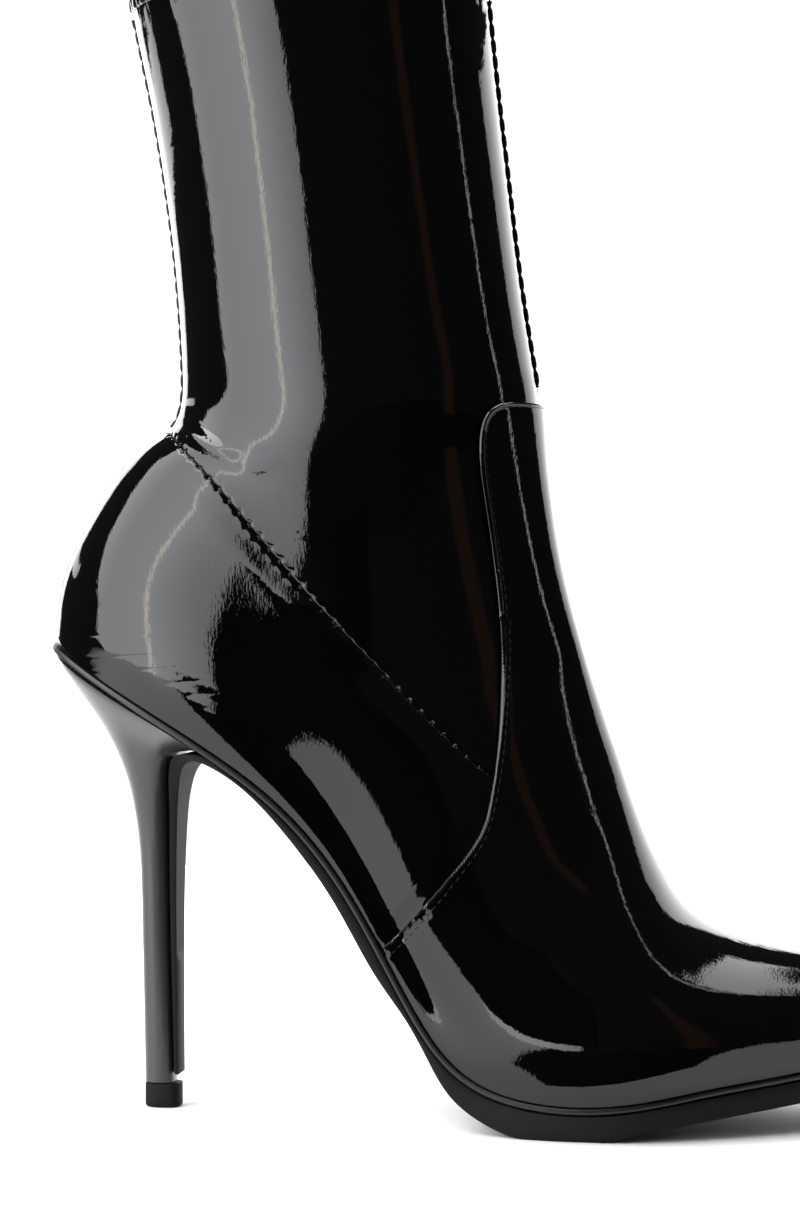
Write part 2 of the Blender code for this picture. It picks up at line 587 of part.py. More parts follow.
# the finished boot stands on z = 0 with the middle of its box on the origin
bpy.context.view_layer.update()
corners = np.array([v.co for obj in bpy.data.objects for v in obj.data.vertices])
middle = (corners.min(axis=0) + corners.max(axis=0)) / 2
for obj in bpy.data.objects:
    for vertex in obj.data.vertices:
        vertex.co.x -= middle[0]
        vertex.co.y -= middle[1]
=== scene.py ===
"""Right stretch ankle boot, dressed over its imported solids.

The sections follow the boot as it is put together: last, shaft, lining, vamp, counter, collar, insole,
sole, heel, threads. The floor, the lamps and the camera come last. Lengths are metres, and MM turns
millimetres into them.
"""

import math

import bpy
import numpy as np
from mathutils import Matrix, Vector, geometry, kdtree


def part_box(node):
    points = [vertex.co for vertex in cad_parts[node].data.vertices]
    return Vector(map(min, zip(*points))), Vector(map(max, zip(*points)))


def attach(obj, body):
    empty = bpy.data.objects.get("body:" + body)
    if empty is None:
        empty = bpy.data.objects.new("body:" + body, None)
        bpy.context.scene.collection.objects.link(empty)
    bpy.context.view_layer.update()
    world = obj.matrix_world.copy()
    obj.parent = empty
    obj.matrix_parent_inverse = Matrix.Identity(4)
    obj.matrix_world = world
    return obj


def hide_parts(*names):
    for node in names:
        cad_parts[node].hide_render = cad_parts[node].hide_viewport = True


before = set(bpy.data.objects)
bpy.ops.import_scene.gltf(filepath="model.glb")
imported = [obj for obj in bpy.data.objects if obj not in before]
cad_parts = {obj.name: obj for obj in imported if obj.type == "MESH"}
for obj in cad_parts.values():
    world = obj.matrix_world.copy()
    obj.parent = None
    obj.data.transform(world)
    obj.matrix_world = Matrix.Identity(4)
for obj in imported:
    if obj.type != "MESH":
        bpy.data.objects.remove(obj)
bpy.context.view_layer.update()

# The last. The boot is pulled over one smooth form, given here as sections that fan from the sole up
# the shin. Each section runs from the front line to the feather line, where the sole meets the upper.
MM = 0.001
HEEL_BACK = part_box("heel_tip")[0][0] - 22.7 * MM  # x of the heel rim: the tables count from there
MIDDLE = (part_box("heel_tip")[0][1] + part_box("heel_tip")[1][1]) / 2
HEEL = 16  # the section that meets the back of the heel seat
TOP = 31  # the section at the collar


def table(names, rows):
    return dict(zip(names.split(), np.array(rows, float).T))


FRONT = table("station x z", [
    (0, 222.8, 21.0), (1, 221.6, 28.0), (2, 213.8, 33.2), (3, 201.0, 37.3), (4, 185.0, 40.4),
    (5, 170.3, 44.0), (6, 159.0, 49.6), (7, 152.5, 57.6), (8, 148.4, 65.0), (9, 145.2, 72.2),
    (10, 142.6, 79.2), (11, 140.2, 86.5), (12, 137.8, 93.4), (13, 135.4, 100.6), (14, 133.1, 107.6),
    (15, 130.9, 115.0), (16, 128.8, 122.8), (17, 126.7, 131.4), (18, 124.7, 142.0), (19, 123.3, 152.5),
    (20, 122.3, 163.0), (21, 121.8, 172.0), (22, 121.1, 179.6), (23, 119.9, 187.0), (24, 117.6, 201.5),
    (26, 114.2, 228.6), (28, 111.4, 252.6), (30, 109.0, 275.6), (31, 107.6, 288.0),
])
FEATHER = table("station x z", [
    (0, 222.8, 21.0), (1, 218.6, 20.1), (2, 208.5, 18.3), (3, 196.0, 16.6), (4, 181.0, 14.4),
    (5, 164.0, 12.1), (6, 148.0, 9.4), (7, 133.5, 8.3), (8, 121.0, 9.2), (9, 110.5, 12.4),
    (10, 100.5, 20.5), (11, 90.6, 35.9), (12, 80.6, 53.2), (13, 67.2, 71.2), (14, 46.5, 88.6),
    (15, 18.5, 105.6), (16, 1.8, 115.6),
])
BACK = table("station x z", [
    (16, 1.8, 115.6), (17, 2.7, 127.6), (18, 6.9, 139.2), (19, 13.4, 150.6), (20, 21.0, 161.0),
    (21, 29.6, 168.6), (22, 32.4, 175.6), (23, 32.7, 182.6), (24, 31.9, 198.0), (26, 28.9, 226.0),
    (28, 24.6, 251.6), (30, 20.3, 272.8), (31, 18.9, 282.8),
])
PLAN = table("x axis half", [
    (222.8, 6.0, 0.0), (217.0, 6.0, 8.0), (207.0, 5.6, 15.2), (196.0, 4.9, 21.2), (181.0, 3.6, 27.8),
    (164.0, 1.2, 34.2), (147.0, -1.2, 37.6), (133.0, -2.6, 36.6), (121.0, -3.4, 33.4),
    (110.0, -3.8, 30.0), (99.0, -3.9, 26.8), (88.0, -3.6, 24.2), (75.0, -2.9, 22.8),
    (58.0, -1.9, 23.4), (38.0, -0.8, 24.4), (24.0, 0.0, 22.8), (12.0, 0.0, 17.2), (1.8, 0.0, 0.0),
])
GIRTH = table("station wide ridge front back", [
    (0, 0.0, 6.0, 0.02, 0.00), (1, 7.7, 6.0, 0.02, 0.00), (2, 15.8, 5.8, 0.02, 0.00),
    (3, 23.0, 5.2, 0.01, 0.00), (4, 30.2, 4.6, 0.00, 0.00), (5, 37.0, 3.6, -0.01, 0.00),
    (6, 41.4, 2.6, -0.02, 0.00), (7, 41.3, 2.4, -0.03, 0.00), (8, 38.6, 2.2, -0.04, 0.00),
    (10, 33.0, 2.2, -0.05, 0.00), (12, 30.8, 2.0, -0.05, 0.00), (14, 31.6, 1.4, -0.05, 0.00),
    (16, 32.4, 1.0, -0.04, -0.01), (18, 32.8, 0.6, -0.03, -0.02), (20, 33.6, 0.2, -0.02, -0.03),
    (22, 34.4, 0.0, 0.00, -0.02), (24, 35.4, 0.0, 0.00, 0.00), (27, 37.6, 0.0, 0.00, 0.00),
    (31, 40.0, 0.0, 0.00, 0.00),
])


def curve(knots, values, at, start=None, end=None):
    """Cubic spline through the knots; start and end are end slopes, free when None."""
    knots, values, at = np.asarray(knots, float), np.asarray(values, float), np.asarray(at, float)
    if knots[0] > knots[-1]:
        knots, values, start, end = knots[::-1], values[::-1], end, start
    n, h = len(knots), np.diff(knots)
    rise = np.diff(values) / h
    system, right = np.zeros((n, n)), np.zeros(n)
    for i in range(1, n - 1):
        system[i, i - 1: i + 2] = h[i - 1], 2 * (h[i - 1] + h[i]), h[i]
        right[i] = 6 * (rise[i] - rise[i - 1])
    system[0, 0] = system[-1, -1] = 1
    if start is not None:
        system[0, :2], right[0] = (2 * h[0], h[0]), 6 * (rise[0] - start)
    if end is not None:
        system[-1, -2:], right[-1] = (h[-1], 2 * h[-1]), 6 * (end - rise[-1])
    bend = np.linalg.solve(system, right)
    k = np.clip(np.searchsorted(knots, at) - 1, 0, n - 2)
    t = at - knots[k]
    inner = np.clip(t, 0, h[k])
    past = t - inner
    value = values[k] + inner * (
        rise[k] - h[k] * (2 * bend[k] + bend[k + 1]) / 6
        + inner * (bend[k] / 2 + inner * (bend[k + 1] - bend[k]) / (6 * h[k]))
    )
    slope = rise[k] - h[k] * (2 * bend[k] + bend[k + 1]) / 6 + inner * (
        bend[k] + inner * (bend[k + 1] - bend[k]) / (2 * h[k])
    )
    return value + past * slope


def plan(x):
    """Axis and half width of the feather line at x."""
    tip, heel = PLAN["x"][0] * MM, PLAN["x"][-1] * MM

    def angle(at):
        return np.arccos(np.clip(1 - 2 * (np.asarray(at) - heel) / (tip - heel), -1, 1))

    knots = angle(PLAN["x"] * MM)
    axis = curve(knots, PLAN["axis"], angle(x)) * MM
    half = curve(knots, PLAN["half"], angle(x)) * MM
    return axis, np.maximum(half, 0)


def feather(x):
    """Height and slope of the feather surface at x; it is level across the foot."""
    keep = FEATHER["x"][::-1] * MM
    height = curve(keep, FEATHER["z"][::-1] * MM, x)
    return height, (curve(keep, FEATHER["z"][::-1] * MM, np.asarray(x) + 1e-4) - height) / 1e-4


def girth(angle, front, back):
    """Half width of a section, as a share of its widest, at this angle round from its front."""
    sharp = front + (back - front) * (1 - np.cos(angle)) / 2
    return (np.sin(angle) + sharp * np.sin(3 * angle)) / (1 - sharp)


def frames(u):
    """Ends of the section plane at each station, its girth numbers and the angle where it ends."""
    fx = curve(FRONT["station"], FRONT["x"], u, start=0.0) * MM
    fz = curve(FRONT["station"], FRONT["z"], u) * MM
    bx = curve(FEATHER["station"], FEATHER["x"], np.minimum(u, HEEL), start=0.0, end=-6.0) * MM
    bz = feather(bx)[0]
    high = np.maximum(u, HEEL)
    bx = np.where(u > HEEL, curve(BACK["station"], BACK["x"], high) * MM, bx)
    bz = np.where(u > HEEL, curve(BACK["station"], BACK["z"], high) * MM, bz)
    axis, half = plan(bx)
    half = np.where(u >= HEEL, 0.0, half)
    axis = np.where(u >= HEEL, 0.0, axis)
    wide = np.maximum(curve(GIRTH["station"], GIRTH["wide"], u) * MM, half * 1.001)
    ridge = curve(GIRTH["station"], GIRTH["ridge"], u) * MM
    front = curve(GIRTH["station"], GIRTH["front"], u)
    back = curve(GIRTH["station"], GIRTH["back"], u)
    share = np.minimum(half / np.maximum(wide, 1e-9), 0.9995)
    low, high = np.full_like(u, math.pi / 2), np.full_like(u, math.pi)
    for _ in range(40):
        middle = (low + high) / 2
        inside = girth(middle, front, back) > share
        low, high = np.where(inside, middle, low), np.where(inside, high, middle)
    return fx, fz, bx, bz, ridge, axis, wide, front, back, (low + high) / 2


def section_point(u, v):
    """Points of the sections as they are drawn, from flat lists of stations and girth shares."""
    fx, fz, bx, bz, ridge, axis, wide, front, back, end = frames(u)
    angle = np.abs(v) * end
    t = (1 - np.cos(angle)) / (1 - np.cos(end))
    y = ridge + (axis - ridge) * t + np.sign(v) * wide * girth(angle, front, back)
    return np.stack([fx + t * (bx - fx), y, fz + t * (bz - fz)], axis=-1)


EASED = 0.7  # stations each side of the heel seat over which the side walls are made fair
FADE_FROM, FADE_OVER = 0.947, 0.05  # girth share where that begins to end, and the share it takes


def eased(t):
    t = np.clip(t, 0, 1)
    return t * t * (3 - 2 * t)


def surface(u, v):
    """Points of the last. u is the station, v runs -1 (outer side) over 0 (front) to 1 (inner side)."""
    u, v = np.broadcast_arrays(np.asarray(u, float), np.asarray(v, float))
    shape, u, v = u.shape, np.maximum(u.ravel(), 0), v.ravel()
    point = section_point(u, v)
    near = (np.abs(u - HEEL) < EASED) & (np.abs(v) < FADE_FROM + FADE_OVER)
    if near.any():
        step, sections = 0.01, []
        angle = v[near] * frames(u[near])[-1]
        for at in (-EASED, -EASED - step, EASED, EASED + step):
            station = np.full(len(angle), HEEL + at)
            sections.append(section_point(station, angle / frames(station[:1])[-1][0]))
        low, lower, high, higher = sections
        t = ((u[near] - HEEL + EASED) / (2 * EASED))[:, None]
        start, finish = (low - lower) / step * 2 * EASED, (higher - high) / step * 2 * EASED
        fair = low + t * start + t ** 2 * (3 * (high - low) - 2 * start - finish)
        fair += t ** 3 * (2 * (low - high) + start + finish)
        share = (1 - eased((np.abs(v[near]) - FADE_FROM) / FADE_OVER))[:, None]
        point[near] += share * (fair - point[near])
    return point.reshape(*shape, 3)


def tangents(u, v):
    """Change of the surface per station and per girth share, and its normal."""
    step = 2e-3
    u = np.maximum(np.asarray(u, float), step)
    by_station = (surface(u + step, v) - surface(u - step, v)) / (2 * step)
    by_girth = (surface(u, v + step) - surface(u, v - step)) / (2 * step)
    # Near the heel seat girth shares bunch up, so the normal compares points at one section angle.
    end, above, below = (frames(at.ravel())[-1].reshape(at.shape) for at in (u, u + step, u - step))
    normal = np.cross(by_girth, surface(u + step, v * end / above) - surface(u - step, v * end / below))
    normal /= np.maximum(np.linalg.norm(normal, axis=-1, keepdims=True), 1e-12)
    return by_station, by_girth, normal


def raised(u, v, by):
    """Points a distance off the last, which near the feather line move level with the sole."""
    point, normal = surface(u, v), tangents(u, v)[2]
    height, slope = feather(point[..., 0])
    up = np.stack([-slope, np.zeros_like(slope), np.ones_like(slope)], axis=-1)
    up /= np.linalg.norm(up, axis=-1, keepdims=True)
    above = (point[..., 2] - height) * up[..., 2]
    near = np.exp(-((above / (5 * MM)) ** 2))[..., None]
    flat = normal - near * (normal * up).sum(-1, keepdims=True) * up
    flat /= np.maximum(np.linalg.norm(flat, axis=-1, keepdims=True), 1e-9)
    flat = flat / np.clip((flat * normal).sum(-1, keepdims=True), 0.75, 1)
    return point + flat * np.asarray(by, float)[..., None]


def on_last(x, z):
    """Station and girth share (0 front to 1 back) of points drawn on the side of the last."""
    stations = np.linspace(0.02, TOP, 3100)
    fx, fz, bx, bz, *_, end = frames(stations)
    found = []
    for px, pz in zip(x, z):
        side = (bx - fx) * (pz - fz) - (bz - fz) * (px - fx)
        length = (bx - fx) ** 2 + (bz - fz) ** 2
        t = ((px - fx) * (bx - fx) + (pz - fz) * (bz - fz)) / np.maximum(length, 1e-12)
        usable = (t > -0.02) & (t < 1.02)
        turn = np.where((side[1:] * side[:-1] <= 0) & usable[1:] & usable[:-1])[0]
        k = turn[0] if len(turn) else int(np.argmin(np.abs(side) + 1e3 * ~usable))
        angle = math.acos(np.clip(1 - np.clip(t[k], 0, 1) * (1 - math.cos(end[k])), -1, 1))
        found.append((stations[k], min(angle / end[k], 1)))
    return np.array(found)


def evenly(line, step):
    """A line of stations and girth shares walked over at equal steps on the last."""
    line = np.asarray(line, float)
    fine = np.concatenate([a + (b - a) * np.linspace(0, 1, 12)[:-1, None] for a, b in zip(line, line[1:])]
                          + [line[-1:]])
    far = np.concatenate([[0], np.cumsum(np.linalg.norm(np.diff(surface(*fine.T), axis=0), axis=-1))])
    even = np.linspace(0, far[-1], max(2, int(round(far[-1] / step)) + 1))
    return np.stack([np.interp(even, far, column) for column in fine.T], axis=-1)


def drawn(line, step):
    """A line drawn on the side of the last, as stations and girth shares a step apart on it."""
    points = np.stack([line["x"], line["z"]], axis=-1) * MM
    run = np.concatenate([[0], np.cumsum(np.hypot(*np.diff(points, axis=0).T))])
    at = np.linspace(0, run[-1], 200)
    return evenly(on_last(curve(run, points[:, 0], at), curve(run, points[:, 1], at)), step)


WELD = 2e-6  # points of a piece closer than this are made one
CREASE = math.radians(48)  # edges sharper than this are shaded sharp


def finish_mesh(name, points, faces, material):
    """A smooth object of the boot, with points that fall together made one."""
    keys = np.round(np.asarray(points) / WELD).astype(np.int64)
    _, lead, index = np.unique(keys, axis=0, return_index=True, return_inverse=True)
    index = index.reshape(-1)
    clean = []
    for face in faces:
        ring = [int(index[i]) for i in face]
        ring = [a for a, b in zip(ring, ring[1:] + ring[:1]) if a != b]
        if len(ring) > 2:
            clean.append(ring)
    used = np.unique(np.concatenate([np.array(ring) for ring in clean]))
    place = np.full(len(lead), -1)
    place[used] = np.arange(len(used))
    kept = np.asarray(points)[lead[used]] + (HEEL_BACK, MIDDLE, 0)
    mesh = bpy.data.meshes.new(name)
    mesh.from_pydata(kept.tolist(), [], [[int(place[i]) for i in ring] for ring in clean])
    mesh.polygons.foreach_set("use_smooth", np.ones(len(mesh.polygons), bool))
    mesh.materials.append(material)
    mesh.set_sharp_from_angle(angle=CREASE)
    mesh.update()
    obj = bpy.data.objects.new(name, mesh)
    bpy.context.scene.collection.objects.link(obj)
    return obj


def near_tree(points):
    tree = kdtree.KDTree(len(points))
    for i, point in enumerate(points):
        tree.insert(point, i)
    tree.balance()
    return tree


def distance_to(tree, points):
    """Distance of each point to a line kept as a tree, and the number of its nearest point."""
    found = [tree.find(point) for point in points]
    return np.array([f[2] for f in found]), np.array([f[1] for f in found])


METRIC = np.array([10.0, 115.0])  # rough millimetres of one station and of half a girth


def skin(name, outline, real, step, inner, outer, material,
         depths=(0.12, 0.3, 0.55, 0.9, 1.4, 2.0), more=()):
    """A panel of the boot, as a closed skin of the last inside an outline.

    real marks the points of the outline on a true edge, where finer rows follow it at these depths in
    millimetres. more holds further lines of points. inner and outer give the two faces' distances off
    the last from stations, girth shares and places.
    """
    here = surface(*outline.T)
    by_station, by_girth, normal = tangents(*outline.T)
    along = np.roll(here, -1, axis=0) - np.roll(here, 1, axis=0)
    u, v = outline.T
    area = np.sum(u * np.roll(v, -1) - v * np.roll(u, -1))
    inward = np.cross(normal, along) * (-1 if area > 0 else 1)
    inward /= np.maximum(np.linalg.norm(inward, axis=-1, keepdims=True), 1e-12)
    pairs = (by_station, by_station), (by_station, by_girth), (by_girth, by_girth)
    ee, eg, gg = ((a * b).sum(-1) for a, b in pairs)
    ie, ig = (inward * by_station).sum(-1), (inward * by_girth).sum(-1)
    scale = np.maximum(ee * gg - eg * eg, 1e-18)
    turn = np.stack([(ie * gg - ig * eg) / scale, (ig * ee - ie * eg) / scale], axis=-1)
    edge_tree = near_tree(here[real])
    cloud = [outline]
    for depth in depths:
        ring = (outline + turn * depth * MM)[real]
        far = distance_to(edge_tree, surface(*ring.T))[0]
        cloud.append(ring[(far > 0.8 * depth * MM) & (np.abs(ring[:, 1]) < 0.9995) & (ring[:, 0] > 0.03)])
    low, high = outline[:, 0].min(), outline[:, 0].max()
    walk = np.linspace(low, high, 4000)
    paces = [np.linalg.norm(np.diff(surface(walk, at), axis=0), axis=-1) for at in (-0.995, -0.5, 0.0)]
    far = np.concatenate([[0], np.cumsum(np.maximum.reduce(paces))])
    rows = np.interp(np.arange(0.6, far[-1] / step - 0.4) * step, far, walk)
    grid = []
    for row in rows:
        around = surface(row, np.linspace(0, 1, 40))
        half = np.linalg.norm(np.diff(around, axis=0), axis=-1).sum()
        columns = max(4, int(round(half / step)))
        grid.append(np.stack([np.full(2 * columns + 1, row), np.linspace(-1, 1, 2 * columns + 1)], axis=-1))
    grid = np.concatenate(grid)
    grid = grid[np.abs(grid[:, 1]) < 0.9999]
    far = distance_to(edge_tree, surface(*grid.T))[0]
    grid = grid[far > (depths[-1] + 0.5 * step / MM) * MM]
    for guide in more:
        gap = distance_to(near_tree(surface(*guide.T)), surface(*grid.T))[0]
        grid = grid[gap > 0.6 * step]
    cloud = np.concatenate(cloud + [grid] + list(more))
    count = len(outline)
    edges = [(i, (i + 1) % count) for i in range(count)]
    cut = geometry.delaunay_2d_cdt([Vector(p) for p in (cloud * METRIC).tolist()], edges, [], 1, 1e-7)
    spots = np.array([tuple(p) for p in cut[0]]) / METRIC
    spots[:, 1] = np.clip(spots[:, 1], -1, 1)
    triangles = np.array(cut[2])
    u, v = spots.T
    on_back = (np.abs(v) > 1 - 1e-6) & (u >= HEEL - 1e-6) & (np.ptp(outline[:, 1]) > 1.9)
    place = surface(u, v)
    out, into = raised(u, v, outer(u, v, place)), raised(u, v, inner(u, v, place))
    for layer in (out, into):
        if (u < 1e-6).any():
            layer[u < 1e-6] = layer[u < 1e-6].mean(axis=0)
        right, left = np.where(on_back & (v > 0))[0], np.where(on_back & (v < 0))[0]
        for a in left:
            twin = right[np.argmin(np.abs(u[right] - u[a]))]
            layer[a] = layer[twin] = (layer[a] + layer[twin]) / 2
    a, b, c = triangles.T
    turned = (u[b] - u[a]) * (v[c] - v[a]) - (v[b] - v[a]) * (u[c] - u[a]) > 0
    b, c = np.where(turned, c, b), np.where(turned, b, c)
    size = len(u)
    faces = np.stack([a, b, c], axis=-1).tolist() + (np.stack([a, c, b], axis=-1) + size).tolist()
    once = set()
    for tail, head in ((a, b), (b, c), (c, a)):
        once |= set(zip(tail.tolist(), head.tolist()))
    for p, q in sorted(once):
        if (q, p) not in once and not (on_back[p] and on_back[q]):
            faces.append((q, p, p + size, q + size))
    return finish_mesh(name, np.concatenate([out, into]), faces, material)


def rounded(far, radius):
    """Height of a rounded edge, as a share of the thickness, this far in from it."""
    inside = np.clip(far / (radius * MM), 0, 1)
    return np.sqrt(np.maximum(1 - (1 - inside) ** 2, 0.0004))


# The lines of the upper: the free edge of the vamp from the sole up to the shin, and the slanting seam
# between counter and shaft from the back down to the vamp. They are drawn as seen from the side.
VAMP_EDGE = table("x z", [
    (86.4, 43.2), (90.3, 47.2), (94.2, 51.2), (101.2, 58.8), (106.6, 65.6), (110.6, 72.4),
    (112.1, 78.6), (113.0, 84.7), (113.9, 97.0), (113.9, 106.5), (113.6, 117.5), (112.8, 127.0),
    (111.7, 136.3), (109.6, 151.5), (108.8, 158.0), (108.6, 164.0), (109.0, 167.8), (110.2, 171.2),
    (112.2, 173.4), (114.6, 174.4), (117.8, 174.6), (121.8, 174.7),
])
SEAM = table("x z", [
    (29.6, 168.6), (32.3, 166.8), (36.6, 163.2), (42.1, 158.2), (48.3, 151.4), (55.2, 143.2),
    (64.6, 132.5), (73.7, 122.6), (83.6, 112.4), (92.3, 103.6), (103.1, 93.0), (111.0, 86.0),
    (113.0, 84.6),
])
STEP = 1.3 * MM  # size of the mesh on open skin
FINE = 0.5 * MM  # and along a seam
vamp_edge = drawn(VAMP_EDGE, 0.9 * MM)
vamp_edge[0, 1], vamp_edge[-1, 1] = 1.0, 0.0
seam = drawn(SEAM, FINE)
seam[0, 1] = 1.0
SEAM_STEP = 0.1 * MM  # between points of the slanting seam as it is measured
seam_fine = drawn(SEAM, SEAM_STEP)
seam_trees = [near_tree(surface(seam_fine[:, 0], side * seam_fine[:, 1])) for side in (-1, 1)]


def seam_place(v, place):
    """Distance off the slanting seam on the same side of the boot, and how far down it."""
    both = [distance_to(tree, place) for tree in seam_trees]
    far, number = (np.where(v < 0, both[0][i], both[1][i]) for i in (0, 1))
    return far, number * SEAM_STEP


PINCH = 3.9 * MM  # from one knot of the seam thread to the next


def off_knot(along):
    """Distance along a seam from its nearest knot."""
    return (along / PINCH - np.round(along / PINCH)) * PINCH


def pinches(along, far, wide=0.55, deep=0.75):
    """Dimples where the thread draws the skin in, 0 to 1."""
    return np.exp(-((off_knot(along) / (wide * MM)) ** 2)) * np.exp(-((far / (deep * MM)) ** 2))


def patent(name):
    """Black patent skin: a thick clear lacquer that follows a fine stretched grain."""
    material = bpy.data.materials.new(name)
    material.use_nodes = True
    nodes, links = material.node_tree.nodes, material.node_tree.links
    shader = nodes["Principled BSDF"]
    shader.inputs["Base Color"].default_value = (0.0009, 0.0009, 0.001, 1)
    shader.inputs["Roughness"].default_value = 0.5
    shader.inputs["Specular IOR Level"].default_value = 0.0
    shader.inputs["Coat Weight"].default_value = 1.0
    shader.inputs["Coat Roughness"].default_value = 0.018
    shader.inputs["Coat IOR"].default_value = 1.5
    where = nodes.new("ShaderNodeTexCoord")
    stretch = nodes.new("ShaderNodeMapping")
    stretch.inputs["Scale"].default_value = (1.0, 1.0, 0.35)
    fine = nodes.new("ShaderNodeTexNoise")
    fine.inputs["Scale"].default_value = 1700.0
    fine.inputs["Detail"].default_value = 2.0
    wavy = nodes.new("ShaderNodeTexNoise")
    wavy.inputs["Scale"].default_value = 130.0
    slow = nodes.new("ShaderNodeBump")
    slow.inputs["Distance"].default_value = 0.00004
    bump = nodes.new("ShaderNodeBump")
    bump.inputs["Distance"].default_value = 0.000012
    links.new(where.outputs["Object"], stretch.inputs["Vector"])
    links.new(stretch.outputs["Vector"], fine.inputs["Vector"])
    links.new(where.outputs["Object"], wavy.inputs["Vector"])
    links.new(wavy.outputs["Fac"], slow.inputs["Height"])
    links.new(slow.outputs["Normal"], bump.inputs["Normal"])
    links.new(fine.outputs["Fac"], bump.inputs["Height"])
    links.new(bump.outputs["Normal"], shader.inputs["Normal"])
    links.new(bump.outputs["Normal"], shader.inputs["Coat Normal"])
    return material


patent_skin = patent("patent_skin")

# Shaft: stretch patent cloth, cut in two halves that are sewn up the back and the front and gathered
# at the collar. It slips under the vamp and is sewn edge to edge with the counter.
UNDERLAP = 3.0  # millimetres that the shaft slips under the vamp
FOLDS = table("x0 z0 x1 z1 bow height width side", [
    (32.6, 173.2, 51.5, 160.4, -1.9, 1.7, 2.1, -1), (33.5, 169.2, 54.0, 157.1, -1.9, -0.6, 1.8, -1),
    (35.5, 176.5, 60.0, 161.5, -2.2, 0.35, 2.4, -1), (40.0, 161.0, 64.0, 158.8, -1.0, 0.3, 1.7, -1),
    (43.0, 154.9, 62.0, 153.6, -0.5, -0.12, 2.0, -1), (33.0, 173.0, 54.0, 160.5, -1.8, 1.1, 1.5, 1),
    (35.0, 179.5, 62.0, 166.0, -2.0, 0.4, 2.6, 1), (44.0, 157.5, 68.0, 155.0, -1.0, 0.4, 2.4, 1),
])


def folds(v, place):
    """Soft rolls and troughs where the shaft is pushed together over the ankle."""
    x, z = place[:, 0] / MM, place[:, 2] / MM
    lift = np.zeros(len(x))
    for x0, z0, x1, z1, bow, height, width, side in zip(*(FOLDS[k] for k in FOLDS)):
        length = math.hypot(x1 - x0, z1 - z0)
        ax, az = (x1 - x0) / length, (z1 - z0) / length
        t = ((x - x0) * ax + (z - z0) * az) / length
        off = (x - x0) * -az + (z - z0) * ax - bow * 4 * t * (1 - t)
        ends = np.clip(1 - (2 * t - 1) ** 2, 0, None) ** 1.5 * (np.abs(t - 0.5) < 0.5)
        lift += height * MM * ends * np.exp(-((off / width) ** 2)) * (v * side > 0)
    return lift


HOLLOW, FULLER = 3.0, 1.1  # depth of the hollow and height of the fuller heel, in millimetres


def hollow(place):
    """Soft hollow under the ankle bone, and the fuller heel behind it, on both sides."""
    x, z = place[:, 0] / MM, place[:, 2] / MM
    above = z - feather(place[:, 0])[0] / MM
    middle = 55 + 0.3 * (125 - np.minimum(z, 125))
    dip = HOLLOW * np.exp(-(((x - middle) / 19) ** 2) - (np.maximum(z - 128, 0) / 32) ** 2)
    dip = dip * eased(above / 14)
    fuller = FULLER * np.exp(-(((x - 21) / 13) ** 2) - ((z - 132) / 24) ** 2) * eased(above / 10)
    return (fuller - dip) * MM


def back_seam(u, v, place):
    """Raised band of the seam up the back, drawn in by its thread at every stitch."""
    far = np.abs(place[:, 1])
    drawn_in = np.exp(-((off_knot(place[:, 2]) / (0.8 * MM)) ** 2))
    near = np.exp(-((far / ((3.1 - 0.5 * drawn_in) * MM)) ** 8)) * (np.abs(v) > 0.9)
    return near * (0.25 - 0.12 * drawn_in) * MM


HALF_GIRTH = 128  # rough millimetres from the front line of the shaft round to its back


def front_seam(u, v, place):
    """The same up the front, narrower."""
    far = np.abs(v) * HALF_GIRTH * MM
    near = np.exp(-((far / (1.4 * MM)) ** 6)) * (u > 21)
    drawn_in = np.exp(-((off_knot(place[:, 2]) / (0.7 * MM)) ** 2))
    return near * (0.25 - 0.15 * drawn_in) * MM


TAILS = 84  # gathers round the collar
BAND_FOOT = 29.9  # station where the elastic band begins


def pleats(v):
    """Wave of the gathered cloth, 0 to 1, a little uneven."""
    return 0.5 + 0.5 * np.cos(v * TAILS / 2 * 2 * math.pi + 1.5 * np.sin(v * 31))


def gathers(u, v, place):
    """Small pleats that hang from the elastic band and die out below it."""
    wave = pleats(v)
    below = u - BAND_FOOT
    length = 0.35 + 0.25 * np.sin(v * 57) + 0.2 * np.sin(v * 23 + 1)
    return 0.3 * MM * wave * np.clip(1 + below / np.maximum(length, 0.15), 0, 1) ** 1.5


LIP, DRAWN_IN = 0.55, 0.45  # millimetres that the sewn edge stands up and its thread draws in


def shaft_face(u, v, place):
    far, along = seam_place(v, place)
    blend = np.exp(-far / (6 * MM))
    lip = LIP * MM * blend * rounded(far, 0.9) - DRAWN_IN * MM * pinches(along, far)
    ridges = back_seam(u, v, place) + front_seam(u, v, place) + gathers(u, v, place)
    return lip + folds(v, place) + ridges + hollow(place)


# The vamp's edge below its top, and the way from it in under the vamp, in the measure of METRIC.
vamp_line = drawn(VAMP_EDGE, 0.9 * MM)
vamp_line = vamp_line[vamp_line[:, 1] > 0.02]
steer = np.gradient(vamp_line, axis=0) * METRIC
steer = np.stack([steer[:, 1], -steer[:, 0]], axis=-1) / np.linalg.norm(steer, axis=-1, keepdims=True)
under_vamp = vamp_line + steer * UNDERLAP / METRIC
meets = np.argmin(np.linalg.norm((under_vamp - seam[-1]) * METRIC, axis=-1))
under_vamp = under_vamp[meets:]
under_vamp = under_vamp[under_vamp[:, 1] > 0.01]
back_line = evenly([(TOP, 1), (seam[0, 0], 1)], 0.8 * MM)
collar_line = evenly([(TOP, -1), (TOP, 1)], STEP)
side_path = np.concatenate([back_line[1:-1], seam, under_vamp, [(under_vamp[-1, 0] - 0.02, 0.0)]])
shaft_outline = np.concatenate([collar_line, side_path, (side_path * (1, -1))[::-1][1:]])
